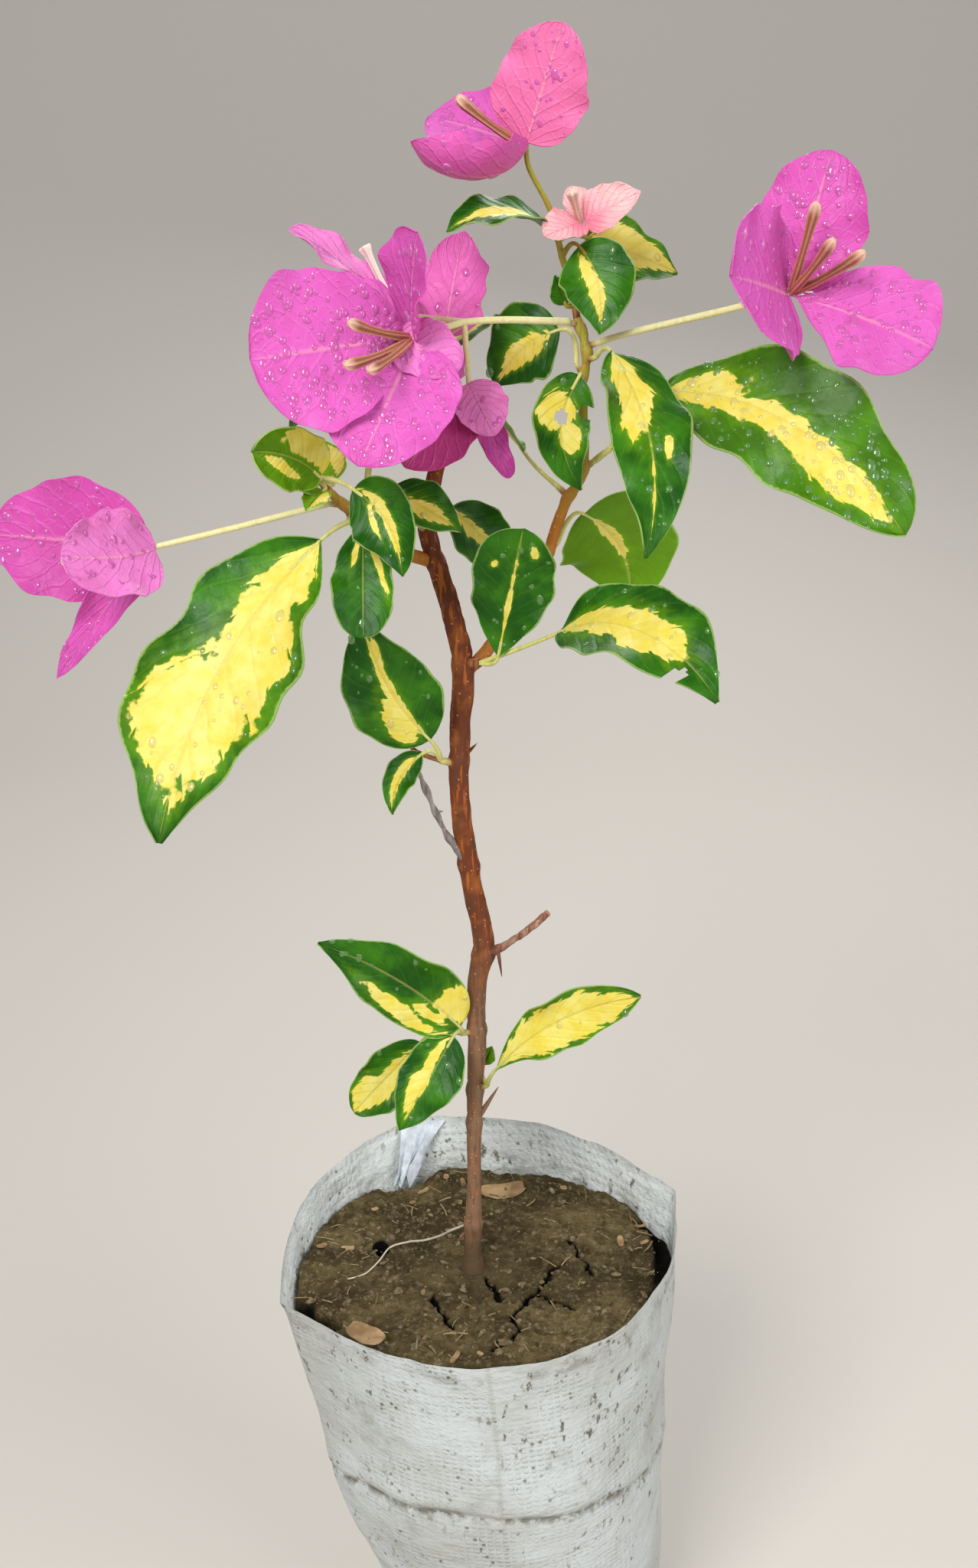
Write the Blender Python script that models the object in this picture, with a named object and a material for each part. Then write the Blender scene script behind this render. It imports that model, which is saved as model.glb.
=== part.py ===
"""A young variegated bougainvillea with five blooms, in a filled white grow bag.

Metres, +Z up. The origin is on the floor, in the middle of the bag's flat underside.
All sizes below are in millimetres and all angles in degrees. A direction is a heading,
turned from +X towards +Y, and a pitch above the horizontal. A step is (length, heading,
pitch), measured from the place before it.
"""
import math
import random
from collections import namedtuple

import bmesh
import bpy
from mathutils import Vector, noise

MM = 0.001
GAP = 0.3                        # air between two neighbouring solids

# Grow bag: round at the floor, leaning and wider at the mouth, with three corner folds.
BAG_BASE_CENTRE = (5.0, 0.0)
BAG_BASE_RADIUS = 40.0
BAG_MOUTH_CENTRE = (-16.0, 4.0)
BAG_MOUTH_RADII = (58.0, 56.0)
BAG_BELLY = 0.18                 # how far the middle runs ahead towards the mouth's size and place
BAG_RIM_HEIGHT = 160.0
BAG_RIM_RISE = 5.0               # how much higher the far side of the rim stands
BAG_WALL = 1.4
BAG_FLOOR = 2.0
BAG_TURN_RADIUS = 4.0            # rounding where the wall meets the underside
BAG_SIDES = 40
BAG_LEVELS = (0.025, 0.34, 0.66, 0.9, 1.0)
BAG_FOLDS = ((209.0, 0.16), (18.0, 0.14), (109.0, 0.09))   # heading and depth of each corner fold
BAG_FOLD_WIDTH = 15.0            # degrees

# Soil: fills the bag to the fourth level, and falls away behind the trunk.
SOIL_TOP = 150.0
SOIL_GAP = 0.6                   # between the soil and the bag's slack wall
SOIL_SLOPE = 0.075
SOIL_PAD_RADIUS = 9.0            # level ground round the trunk's foot
SOIL_RINGS = (1.0, 0.72, 0.42)

# Trunk and boughs: (x, y, z) where each bends, and the radius there.
Limb = namedtuple("Limb", "name bends sides colour")
TRUNK = Limb("trunk", (
    (-18, 0, 150.3, 3.6), (-18, 0, 157, 2.7), (-17.5, 1, 180, 2.2), (-17.5, 1, 198, 2.2),
    (-17, 1.5, 215, 2.5), (-16.5, 2, 227, 2.7), (-16.5, 2, 247, 2.8), (-14.5, 2, 260, 3.0),
    (-18, 1, 280, 2.8), (-21, 0, 304, 2.8), (-21, 0, 324, 2.8), (-20, 0, 343, 2.9),
    (-23, 1, 358, 2.7), (-28, 3, 374, 2.5), (-29, 5, 383, 2.3), (-25, 8, 402, 1.7)), 8, "bark")
RIGHT_SHOOT = Limb("right_shoot", (
    (-20, 0, 341, 1.8), (-14, 3, 346, 1.8), (-7.5, 8, 355, 1.7), (-0.5, 11, 364, 1.6), (3, 12, 372, 1.5),
    (5.5, 11, 380, 1.4), (8, 9, 387, 1.4), (11.5, 4, 395, 1.3), (11, 0, 410, 1.2), (10.5, -1, 418, 1.2),
    (11.5, -2, 425, 1.1), (9, 0, 433, 1.0)), 6, "shoot")
LEFT_SHOOT = Limb("left_shoot", (
    (-28, 3, 371, 1.9), (-34, -2, 374, 1.7), (-40, -6, 378, 1.6), (-46, -12, 385, 1.5), (-50, -15, 390, 1.3),
    (-53, -16, 393, 1.1)), 6, "shoot")
DEAD_TWIG_LEFT = Limb("dead_twig_left", (
    (-19, 0, 285, 1.4), (-24, -2, 294, 1.1), (-28, -3, 303, 1.0), (-32, -4, 314, 0.8)), 6, "dead_wood")
DEAD_TWIG_RIGHT = Limb("dead_twig_right", (
    (-16.5, 2, 255, 1.3), (-10.5, 0, 259, 1.0), (-4.5, -2, 264, 0.9), (3.5, -3, 272, 0.9)), 6, "dead_wood")

Thorn = namedtuple("Thorn", "limb height step radius")
THORNS = (
    Thorn("trunk", 201, (14, 10, 58), 1.2),
    Thorn("trunk", 316, (7, 20, 40), 1.0),
    Thorn("dead_twig_right", 259, (8, -70, -64), 0.7),
    Thorn("dead_twig_left", 302, (3, -40, 20), 0.6))

# Foliage: a twig bears leaves, bracts, flower tubes and finer twigs.
Twig = namedtuple("Twig", "steps radius bears")
Leaf = namedtuple("Leaf", "reach blade width face arch cup swerve", defaults=(0,))
Bract = namedtuple("Bract", "reach blade width face arch cup swerve", defaults=(0,))
Tube = namedtuple("Tube", "reach axis")
Spray = namedtuple("Spray", "name limb height stub radius colour bears")

LEAF_THICKNESS = 0.9
BRACT_THICKNESS = 0.8
LEAF_ROWS = (0.0, 0.1, 0.28, 0.48, 0.68, 0.87, 1.0)
BRACT_ROWS = (0.0, 0.15, 0.36, 0.6, 0.84, 1.0)
LEAF_OUTLINE = (0.62, 0.95)      # powers of the distances from base and from tip
BRACT_OUTLINE = (0.5, 0.62)
LEAF_WAVE = 0.035                # of the length, up and down along the margin
BRACT_WAVE = 0.03
STALK_RADIUS = 0.75
STALK_SINK = 0.12                # how far along the blade the stalk runs in it
FLORET_RADII = (1.0, 1.3, 1.7)
KNOT_RADIUS = 1.9
BACK_LEAF_WIDTH = 0.46           # of its length
EDGE_SHARE = 0.55                # least half width of a blade, of its thickness
RIPPLES = 9                      # radians of the wave along a margin
DROOP_GATHER = 0.12              # how much an arched blade's middle draws to its chord's middle
SCRAP_POINTS = 20                # a smaller island is a crumb of the union
FOOT_STEP = 0.05                 # fineness of the search for a clear foot
FOOT_REACH = 20.0
FOOT_SPACING = 1.5               # from a bough's foot to its next loop
CAP_UPRIGHT = 0.99               # a limb that starts steeper than this has a level foot
BUMP_HEIGHT = 1.6                # of the soil's crust
BUMP_WIDTH = 17.0

TOWARDS = -90                    # heading of the plant's front


def bloom(steps, radius, bracts, tubes):
    """A pedicel with bracts round its tip, and the slim flowers between them."""
    bears = [Bract(*b) for b in bracts]
    bears += [Tube(*t) for t in tubes]
    return Twig(steps, radius, bears)


def seeded_leaves(seed, count, heading, spread, pitch, longest):
    """Leaves that fan out evenly about a heading, each a little different."""
    dice = random.Random(seed)
    leaves = []
    for i in range(count):
        turn = heading + spread * ((i + 0.5) / count - 0.5) + dice.uniform(-8, 8)
        rise = pitch + dice.uniform(-14, 14)
        length = longest * dice.uniform(0.72, 1.0)
        reach = (dice.uniform(5, 9), turn, rise + 25)
        blade = (length, turn + dice.uniform(-10, 10), rise)
        width = length * BACK_LEAF_WIDTH
        leaves.append(Leaf(reach, blade, width, (turn, 75), dice.uniform(20, 45), 20))
    return leaves


SPRAYS = (
    Spray("low_left_spray", "trunk", 232, (2.5, -146, 8), 1.1, "leaf", (
        Leaf((8, -134, 29), (51, -167, 38), 22, (TOWARDS, 8), 12, 15, 27),
        Leaf((17, -173, -10), (29, -168, -46), 15, (TOWARDS, 20), 15, 20),
        Leaf((10, -134, 11), (31, -145, -52), 18, (-95, 15), 20, 20))),
    Spray("low_right_spray", "trunk", 212, (2.5, -30, 35), 1.0, "leaf", (
        Leaf((13, -41, 51), (50, -11, 34), 17, (-92, 12), 12, 25, -42),)),
    Spray("mid_left_spray", "trunk", 315, (3, -150, 20), 1.2, "leaf", (
        Leaf((14, -137, 42), (40, -155, 62), 25, (-95, 10), 10, 15, -30),
        Leaf((14, -140, 24), (18, -137, -54), 9, (-100, 20), 20, 30, 60),
        Twig(((13, -161, 22), (4, -153, 55)), 0.8, ()))),
    Spray("knot_spray", "trunk", 344, (3, -40, 12), 1.5, "leaf", (
        Leaf((31, -29, 23), (51, -43, -9), 28, (-100, 50), 70, 25, -45),
        Leaf((12, -34, 18), (37, -53, 74), 21, (-95, 0), -12, 15))),
    Spray("right_low_spray", "right_shoot", 371.5, (2.5, 31, 39), 1.0, "leaf", (
        Leaf((15, 31, 39), (36, 45, -56), 34, (95, 25), 30, 20, 60),)),
    Spray("right_back_spray", "right_shoot", 387, (2.5, 152, 39), 1.0, "leaf", (
        Leaf((17, 152, 39), (17, 132, 31), 13, (16, 40), 15, 20),)),
    Spray("right_far_spray", "right_shoot", 395.5, (2.5, -28, 38), 0.95, "shoot", (
        Twig(((10, -28, 38),), 0.95, (
            Leaf((21, -33, 46), (71, -35, -24), 31, (-110, 36), 50, 15, -40),)),)),
    Spray("right_thin_spray", "right_shoot", 419.5, (2.2, 130, 49), 0.8, "leaf", (
        Leaf((14, 130, 49), (22, 166, -41), 22, (TOWARDS, 35), 20, 15, 50),)),
    Spray("right_inner_spray", "right_shoot", 418, (2.0, -100, 6), 0.9, "leaf", (
        Leaf((6, -100, 18), (28, -73, -84), 15, (TOWARDS, 10), 15, 20, 75),)),
    Spray("right_leaf_spray", "right_shoot", 423, (2.2, -52, 15), 0.9, "leaf", (
        Leaf((11, -59, 14), (57, -80, -49), 19, (-80, 14), 22, 20, -40),)),
    Spray("right_bloom_spray", "right_shoot", 426.5, (2.2, -26, 20), 0.9, "bract", (
        bloom(((12, -26, 18), (25, -19, 14), (15, -20, 15)), 0.9, (
            ((1.2, 0, 54), (32, 28, 74), 26, (-100, 10), 20, 20),
            ((1.2, -125, -13), (32, -123, 14), 33, (-5, 12), 15, 25),
            ((1.2, -53, -20), (35, -27, -19), 36, (TOWARDS, 45), 20, 15)), (
            ((2, -113, 40), (22, -72, 61)),
            ((2, -88, 27), (20, -68, 36)),
            ((2, -57, 37), (19, -36, 27)))),)),
    Spray("centre_bloom_spray", "right_shoot", 431.5, (2.2, -150, 11), 0.9, "bract", (
        Twig(((5, -150, 11), (15, -160, 3), (11, -159, -1)), 0.95, (
            bloom(((17, -134, -9),), 0.8, (
                ((1.2, -155, -6), (38, -163, -6), 38, (-82, 15), 20, 20),
                ((1.2, -53, -32), (34, -128, -52), 33, (TOWARDS, 35), 15, 15),
                ((1, 180, -70), (27, -111, 73), 29, (180, 5), 15, 45)), (
                ((4, -124, 9), (17, -136, 13)),
                ((4, -120, 2), (21, -129, -13)),
                ((4, -116, -5), (20, -113, -15)))),
            bloom(((17, 160, 4),), 0.8, (
                ((1.2, 152, 44), (32, -164, 37), 13, (-60, 60), 20, 40),
                ((1.2, -124, 30), (20, -146, 36), 22, (TOWARDS, 20), 15, 20),
                ((1.2, 100, 30), (27, 104, 28), 22, (TOWARDS, 70), 20, 20)), (
                ((4, 118, 40), (15, -150, 68)),)),
            bloom(((14, 113, -19),), 0.8, (
                ((1.2, 91, 2), (26, 64, 66), 20, (-100, 20), 15, 20),
                ((1.2, -78, 7), (24, -114, -30), 18, (-20, 40), 15, 60),
                ((1.2, 129, -4), (20, 113, 30), 22, (TOWARDS, 50), 15, 20)), ()),
            bloom(((19, 84, -58),), 0.8, (
                ((1.2, -89, 30), (17, -60, -42), 14, (TOWARDS, 20), 15, 20),
                ((1.2, -28, -77), (24, -29, -61), 11, (TOWARDS, 20), 20, 50),
                ((1.2, -162, -63), (26, -143, -43), 22, (TOWARDS, 30), 15, 20)), ()))),)),
    Spray("top_spray", "right_shoot", 433, (2.5, 180, 77), 1.0, "leaf", (
        Leaf((5, -150, 45), (8, -135, 60), 6, (TOWARDS, 10), 10, 20),
        Twig(((9, 180, 77), (6, 180, 71)), 0.95, (
            Leaf((7, -53, 23), (22, -59, -65), 19, (-100, 20), 25, 25, -55),
            Twig(((4, 180, 76),), 0.9, (
                Leaf((9, 42, 5), (28, 22, -19), 17, (TOWARDS, 35), 20, 20),
                Twig(((2.5, 180, 76),), 0.9, (
                    Leaf((3, -156, 16), (26, -157, -2), 17, (-75, 70), 70, 25),
                    bloom(((6, -30, -3),), 0.7, (
                        ((1.2, -30, 0), (17, -12, 30), 15, (TOWARDS, 30), 20, 40),
                        ((1.2, -92, -12), (12, -127, 20), 14, (TOWARDS, 45), 20, 30),
                        ((1.2, 63, 28), (12, 114, 62), 12, (TOWARDS, 20), 10, 30)), ()),
                    bloom(((6, -153, 69), (10, -169, 60), (5, 110, 69)), 0.7, (
                        ((1.2, 180, 90), (28, -36, 68), 25, (-100, 10), 12, 15),
                        ((1.2, 126, 17), (26, 146, 14), 24, (TOWARDS, 60), 15, 25),
                        ((1.2, -84, -8), (32, -148, 2), 24, (80, 60), -100, 60)), (
                        ((3, -152, 17), (19, -150, 31)),)))))))))),
    Spray("neck_left_spray", "trunk", 378, (2.5, -133, 45), 1.0, "leaf", (
        Leaf((19, -133, 45), (21, -9, -29), 14, (TOWARDS, 50), 25, 25),)),
    Spray("neck_right_spray", "trunk", 382, (2.2, 11, 25), 1.0, "leaf", (
        Leaf((7, 11, 25), (25, 13, -46), 16, (TOWARDS, 35), 15, 20),)),
    Spray("left_hanging_spray", "left_shoot", 386.5, (2.2, -100, -20), 1.0, "leaf", (
        Leaf((6, -55, -32), (28, -88, -60), 17, (TOWARDS, 30), 20, 25),
        Leaf((13, -130, -22), (84, -136, -52), 38, (-100, 30), 22, 15, 38))),
    Spray("left_bloom_spray", "left_shoot", 389, (2.2, 180, 5), 0.9, "bract", (
        bloom(((26, -171, -10), (23, -177, -13)), 0.85, (
            ((1.2, 139, 7), (41, 174, 3), 31, (TOWARDS, 10), 15, 15),
            ((1.2, -42, -11), (28, -130, 6), 24, (-60, 25), 15, 30, -25),
            ((1.2, 180, -56), (40, -168, -51), 14, (TOWARDS, 20), 20, 50)), (
            ((3, -150, 0), (20, -152, -4)),)),)),
    Spray("left_tip_spray", "left_shoot", 393, (3, -160, 50), 1.0, "leaf", (
        Leaf((9, -40, 8), (25, -39, -51), 17, (-110, 15), 22, 20, -60),
        Leaf((6, -111, 42), (23, -131, 22), 17, (TOWARDS, 10), 15, 50, 40),
        Leaf((3, 57, 41), (12, 109, 47), 9, (TOWARDS, 20), 10, 20),
        Leaf((3, -101, 12), (10, -114, -20), 7, (TOWARDS, 60), 15, 20))),
    Spray("left_back_spray", "left_shoot", 384, (2.5, 70, 60), 1.0, "leaf", (
        Twig(((7, 80, 60), (14, 85, 50), (12, 90, 40)), 0.9, tuple(seeded_leaves(4, 3, 120, 60, -8, 32))),)),
    Spray("crown_back_spray", "trunk", 402, (3, 80, 50), 1.1, "leaf", (
        Twig(((10, 95, 70), (9, 90, 60)), 1.0, tuple(seeded_leaves(9, 4, 100, 80, 15, 38))),)))

COLOURS = {
    "bag": ((0.78, 0.79, 0.76), 0.6),
    "soil": ((0.16, 0.12, 0.075), 0.95),
    "bark": ((0.16, 0.065, 0.035), 0.75),
    "shoot": ((0.42, 0.25, 0.07), 0.6),
    "dead_wood": ((0.22, 0.15, 0.12), 0.85),
    "leaf": ((0.05, 0.22, 0.02), 0.35),
    "bract": ((0.72, 0.08, 0.42), 0.5)}


def clear_scene():
    """Take away whatever the file opened with."""
    for thing in list(bpy.data.objects):
        bpy.data.objects.remove(thing, do_unlink=True)


def finish(name):
    """The Principled material of one kind of surface."""
    found = bpy.data.materials.get(name)
    if found:
        return found
    colour, roughness = COLOURS[name]
    made = bpy.data.materials.new(name)
    made.use_nodes = True
    shader = made.node_tree.nodes["Principled BSDF"]
    shader.inputs["Base Color"].default_value = (*colour, 1.0)
    shader.inputs["Roughness"].default_value = roughness
    shader.inputs["Metallic"].default_value = 0.0
    made.diffuse_color = (*colour, 1.0)
    return made


def add_object(name, points, faces, colour, sharp=35.0):
    """A named object from points in millimetres."""
    mesh = bpy.data.meshes.new(name)
    mesh.from_pydata([tuple(Vector(p) * MM) for p in points], [], faces)
    mesh.materials.append(finish(colour))
    mesh.shade_smooth()
    mesh.set_sharp_from_angle(angle=math.radians(sharp))
    made = bpy.data.objects.new(name, mesh)
    bpy.context.scene.collection.objects.link(made)
    return made


def aim(heading, pitch):
    """Unit vector of a heading and a pitch."""
    h = math.radians(heading)
    p = math.radians(pitch)
    return Vector((math.cos(p) * math.cos(h), math.cos(p) * math.sin(h), math.sin(p)))


def step_from(place, step):
    """Where a step of (length, heading, pitch) leads."""
    length, heading, pitch = step
    return place + aim(heading, pitch) * length


def lerp(a, b, f):
    """Value between a and b."""
    return a + (b - a) * f


def through(stations, parts):
    """Smooth route through stations of any size of tuple, with parts pieces to a span."""
    ends = [stations[0], *stations, stations[-1]]
    route = []
    for i in range(len(stations) - 1):
        before, start, stop, after = (Vector(s) for s in ends[i:i + 4])
        for k in range(parts):
            f = k / parts
            bow = (2 * before - 5 * start + 4 * stop - after) * f * f
            twist = (3 * start - before - 3 * stop + after) * f * f * f
            route.append((2 * start + (stop - before) * f + bow + twist) / 2)
    route.append(Vector(stations[-1]))
    return route


def tube(name, route, radii, sides, colour):
    """A tapering round solid along a route, closed by a flat cap at each end."""
    spans = [(b - a).normalized() for a, b in zip(route, route[1:])]
    across = spans[0].orthogonal().normalized()
    points = []
    for i, centre in enumerate(route):
        along = (spans[max(i - 1, 0)] + spans[min(i, len(spans) - 1)]).normalized()
        if i == 0 and abs(along.z) > CAP_UPRIGHT:
            along = Vector((0, 0, 1))
        across = (across - along * across.dot(along)).normalized()
        over = along.cross(across)
        for k in range(sides):
            turn = 2 * math.pi * k / sides
            points.append(centre + (across * math.cos(turn) + over * math.sin(turn)) * radii[i])
    faces = [tuple(reversed(range(sides)))]
    for i in range(len(route) - 1):
        low = i * sides
        for k in range(sides):
            after = (k + 1) % sides
            faces.append((low + k, low + after, low + sides + after, low + sides + k))
    last = (len(route) - 1) * sides
    faces.append(tuple(range(last, last + sides)))
    return add_object(name, points, faces, colour)


def ball(name, centre, radius, colour):
    """A small round knot."""
    shape = bmesh.new()
    bmesh.ops.create_uvsphere(shape, u_segments=6, v_segments=4, radius=radius)
    points = [v.co + centre for v in shape.verts]
    faces = [tuple(v.index for v in f.verts) for f in shape.faces]
    shape.free()
    return add_object(name, points, faces, colour)


def bulge(s, bend):
    """Share of the length by which an evenly bent midrib leaves its chord."""
    if abs(bend) < 1e-6:
        return 0.0
    return (math.cos(bend * (0.5 - s)) - math.cos(bend / 2)) / (2 * math.sin(bend / 2))


def blade_rows(base, organ, shares):
    """Centre, side and upward vector at shares of a blade, whose midrib bends evenly."""
    length, heading, pitch = organ.blade
    chord = aim(heading, pitch)
    normal = aim(*organ.face)
    normal = (normal - chord * normal.dot(chord)).normalized()
    side = chord.cross(normal)
    arch = math.radians(organ.arch)
    swerve = math.radians(organ.swerve)
    rows = []
    for s in shares:
        forward = s - DROOP_GATHER * math.sin(2 * math.pi * s) * (arch / math.pi) ** 2
        centre = base + (chord * forward + normal * bulge(s, arch) + side * bulge(s, swerve)) * length
        droop = arch * (0.5 - s)
        turn = swerve * (0.5 - s)
        along = chord * math.cos(droop) + normal * math.sin(droop)
        up = normal * math.cos(droop) - chord * math.sin(droop)
        rows.append((centre, side * math.cos(turn) - along * math.sin(turn), up))
    return rows


def outline(s, powers):
    """Share of the full half width at a share of the length."""
    a, b = powers
    widest = a / (a + b)
    return (s / widest) ** a * ((1 - s) / (1 - widest)) ** b if 0 < s < 1 else 0.0


def blade_sheet(name, base, organ, is_leaf, dice):
    """A leaf or a bract: a cupped, waved sheet, made solid by its thickness."""
    rows = LEAF_ROWS if is_leaf else BRACT_ROWS
    powers = LEAF_OUTLINE if is_leaf else BRACT_OUTLINE
    wave = (LEAF_WAVE if is_leaf else BRACT_WAVE) * organ.blade[0]
    thickness = LEAF_THICKNESS if is_leaf else BRACT_THICKNESS
    cup = math.radians(organ.cup)
    phase = dice.uniform(0, 2 * math.pi)
    points = []
    for (centre, side, up), s in zip(blade_rows(base, organ, rows), rows):
        half = max(organ.width / 2 * outline(s, powers), thickness * EDGE_SHARE)
        swell = wave * math.sin(math.pi * s) * math.sin(RIPPLES * s + phase)
        for edge in (-1, 0, 1):
            out = side * edge * half * math.sin(cup) / cup
            points.append(centre + out + up * abs(edge) * (half * (1 - math.cos(cup)) / cup + swell))
    faces = []
    for i in range(len(rows) - 1):
        for k in range(2):
            low = 3 * i + k
            faces.append((low, low + 1, low + 4, low + 3))
    made = add_object(name, points, faces, "leaf" if is_leaf else "bract")
    wall = made.modifiers.new("thickness", "SOLIDIFY")
    wall.thickness = thickness * MM
    wall.offset = 0.0
    return made


def bow_route(start, end, leaving, parts):
    """A short curve from start to end that arrives along leaving."""
    control = end - leaving * (end - start).length * 0.5
    route = []
    for k in range(parts + 1):
        f = k / parts
        route.append(start * (1 - f) ** 2 + control * 2 * f * (1 - f) + end * f ** 2)
    return route


def limb_solids(limb):
    """Route and radii of a limb, smooth through its bends."""
    stations = through(limb.bends, 2)
    route = [Vector(s[:3]) for s in stations]
    radii = [s[3] for s in stations]
    return route, radii


def place_at_height(route, radii, height):
    """Centre and radius of a rising limb at a height."""
    for i in range(len(route) - 1):
        low, high = route[i].z, route[i + 1].z
        if low <= height <= high:
            f = (height - low) / (high - low)
            return route[i].lerp(route[i + 1], f), lerp(radii[i], radii[i + 1], f)
    return route[-1], radii[-1]


def distance_to(route, radii, point):
    """Distance from a point to the surface of a limb, whose tip is cut flat."""
    tip_axis = (route[-1] - route[-2]).normalized()
    beyond = (point - route[-1]).dot(tip_axis)
    if beyond > 0:
        outward = (point - route[-1] - tip_axis * beyond).length - radii[-1]
        best = math.hypot(beyond, max(outward, 0.0))
    else:
        best = float("inf")
    last = len(route) - 1 if beyond <= 0 else len(route) - 2
    for i in range(last):
        span = route[i + 1] - route[i]
        f = min(max((point - route[i]).dot(span) / span.length_squared, 0.0), 1.0)
        away = (point - route[i] - span * f).length - lerp(radii[i], radii[i + 1], f)
        best = min(best, away)
    return best


def foot_clear_of(route, radii, centre, toward, radius):
    """First place along toward where a disc of this radius is the gap clear of the limb."""
    across = toward.orthogonal().normalized()
    over = toward.cross(across)
    reach = 0.0
    while reach < FOOT_REACH:
        place = centre + toward * reach
        ring = [place + (across * math.cos(t) + over * math.sin(t)) * radius
                for t in (i * math.pi / 4 for i in range(8))]
        if min(distance_to(route, radii, p) for p in [*ring, place]) >= GAP:
            return place
        reach += FOOT_STEP
    raise ValueError("no clear foot")


def fuse(base, pieces):
    """Join pieces to base by one Boolean union on their collection."""
    group = bpy.data.collections.new(base.name + "_pieces")
    for piece in pieces:
        bpy.context.scene.collection.objects.unlink(piece)
        group.objects.link(piece)
    bpy.context.scene.collection.children.link(group)
    union = base.modifiers.new("union", "BOOLEAN")
    union.operation = "UNION"
    union.operand_type = "COLLECTION"
    union.collection = group
    union.solver = "MANIFOLD"
    seen = bpy.context.evaluated_depsgraph_get()
    joined = bpy.data.meshes.new_from_object(base.evaluated_get(seen))
    base.modifiers.clear()
    base.data = joined
    joined.name = base.name
    drop_scraps(joined)
    for piece in pieces:
        bpy.data.objects.remove(piece, do_unlink=True)
    bpy.data.collections.remove(group)


def drop_scraps(mesh):
    """Delete the crumbs and sealed hollows that a union leaves behind."""
    shape = bmesh.new()
    shape.from_mesh(mesh)
    unseen = set(shape.verts)
    while unseen:
        island = {unseen.pop()}
        edge = list(island)
        while edge:
            near = {e.other_vert(v) for v in edge for e in v.link_edges} - island
            island |= near
            edge = list(near)
        unseen -= island
        if len(island) < SCRAP_POINTS:
            bmesh.ops.delete(shape, geom=list(island), context="VERTS")
    shape.to_mesh(mesh)
    shape.free()


def bag_ring(level, inset, height):
    """One loop of the bag at a level from floor to rim."""
    share = level + BAG_BELLY * math.sin(math.pi * level) ** 2
    centre_x = lerp(BAG_BASE_CENTRE[0], BAG_MOUTH_CENTRE[0], share)
    centre_y = lerp(BAG_BASE_CENTRE[1], BAG_MOUTH_CENTRE[1], share)
    radius_x = lerp(BAG_BASE_RADIUS, BAG_MOUTH_RADII[0], share)
    radius_y = lerp(BAG_BASE_RADIUS, BAG_MOUTH_RADII[1], share)
    ring = []
    for k in range(BAG_SIDES):
        turn = 2 * math.pi * k / BAG_SIDES
        fold = 0.0
        for heading, depth in BAG_FOLDS:
            away = (math.degrees(turn) - heading + 180) % 360 - 180
            fold += depth * level * level * math.exp(-(away / BAG_FOLD_WIDTH) ** 2)
        x = centre_x + (radius_x - inset) * (1 + fold) * math.cos(turn)
        y = centre_y + (radius_y - inset) * (1 + fold) * math.sin(turn)
        ring.append((x, y, height(level, turn)))
    return ring


def rim_height(level, turn):
    """Height of a level, rising to the far side of the rim."""
    return level * (BAG_RIM_HEIGHT + BAG_RIM_RISE * math.sin(turn))


def loft(name, rings, colour):
    """A closed solid through loops of equal count, from its first to its last."""
    count = len(rings[0])
    points = [p for ring in rings for p in ring]
    faces = [tuple(reversed(range(count)))]
    for i in range(len(rings) - 1):
        low = i * count
        rising = rings[i + 1][0][2] > rings[i][0][2]
        for k in range(count):
            after = (k + 1) % count
            corners = (low + k, low + after, low + count + after, low + count + k)
            if rising:
                faces.append((corners[0], corners[1], corners[2]))
                faces.append((corners[0], corners[2], corners[3]))
            else:
                faces.append((corners[0], corners[1], corners[3]))
                faces.append((corners[1], corners[2], corners[3]))
    last = (len(rings) - 1) * count
    faces.append(tuple(range(last, last + count)))
    return add_object(name, points, faces, colour)


def make_grow_bag():
    """Bag: up the outside from the flat underside, over the rim and down to the inner floor."""
    underside = bag_ring(0.0, BAG_TURN_RADIUS, lambda level, turn: 0.0)
    rings = [underside]
    rings += [bag_ring(level, 0.0, rim_height) for level in BAG_LEVELS]
    rings += [bag_ring(level, BAG_WALL, rim_height) for level in reversed(BAG_LEVELS[1:])]
    rings.append(bag_ring(BAG_LEVELS[0], BAG_WALL, lambda level, turn: BAG_LEVELS[0] * BAG_RIM_HEIGHT))
    return loft("grow_bag", rings, "bag")


def soil_height(x, y):
    """Level of the soil, flat round the trunk's foot and lower towards the far side."""
    foot_x, foot_y = TRUNK.bends[0][:2]
    away = math.hypot(x - foot_x, y - foot_y)
    share = min(max((away - SOIL_PAD_RADIUS) / SOIL_PAD_RADIUS, 0.0), 1.0)
    bump = BUMP_HEIGHT * noise.noise(Vector((x, y, 0.0)) / BUMP_WIDTH)
    return SOIL_TOP + share * (bump - SOIL_SLOPE * y)


def make_soil():
    """Soil: the same loops as the bag's inner wall, one gap inside them, under a crusted top."""
    inset = BAG_WALL + SOIL_GAP
    floor = BAG_LEVELS[0] * BAG_RIM_HEIGHT + GAP
    rings = [bag_ring(BAG_LEVELS[0], inset, lambda level, turn: floor)]
    rings += [bag_ring(level, inset, rim_height) for level in BAG_LEVELS[1:-1]]
    foot = TRUNK.bends[0]
    edge = bag_ring(BAG_LEVELS[-2], inset, rim_height)
    for share in SOIL_RINGS[1:]:
        ring = []
        for x, y, z in edge:
            px = lerp(foot[0], x, share)
            py = lerp(foot[1], y, share)
            ring.append((px, py, soil_height(px, py)))
        rings.append(ring)
    pad = []
    for x, y, z in edge:
        turn = math.atan2(y - foot[1], x - foot[0])
        px = foot[0] + SOIL_PAD_RADIUS * math.cos(turn)
        py = foot[1] + SOIL_PAD_RADIUS * math.sin(turn)
        pad.append((px, py, SOIL_TOP))
    rings.append(pad)
    return loft("soil", rings, "soil")


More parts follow.
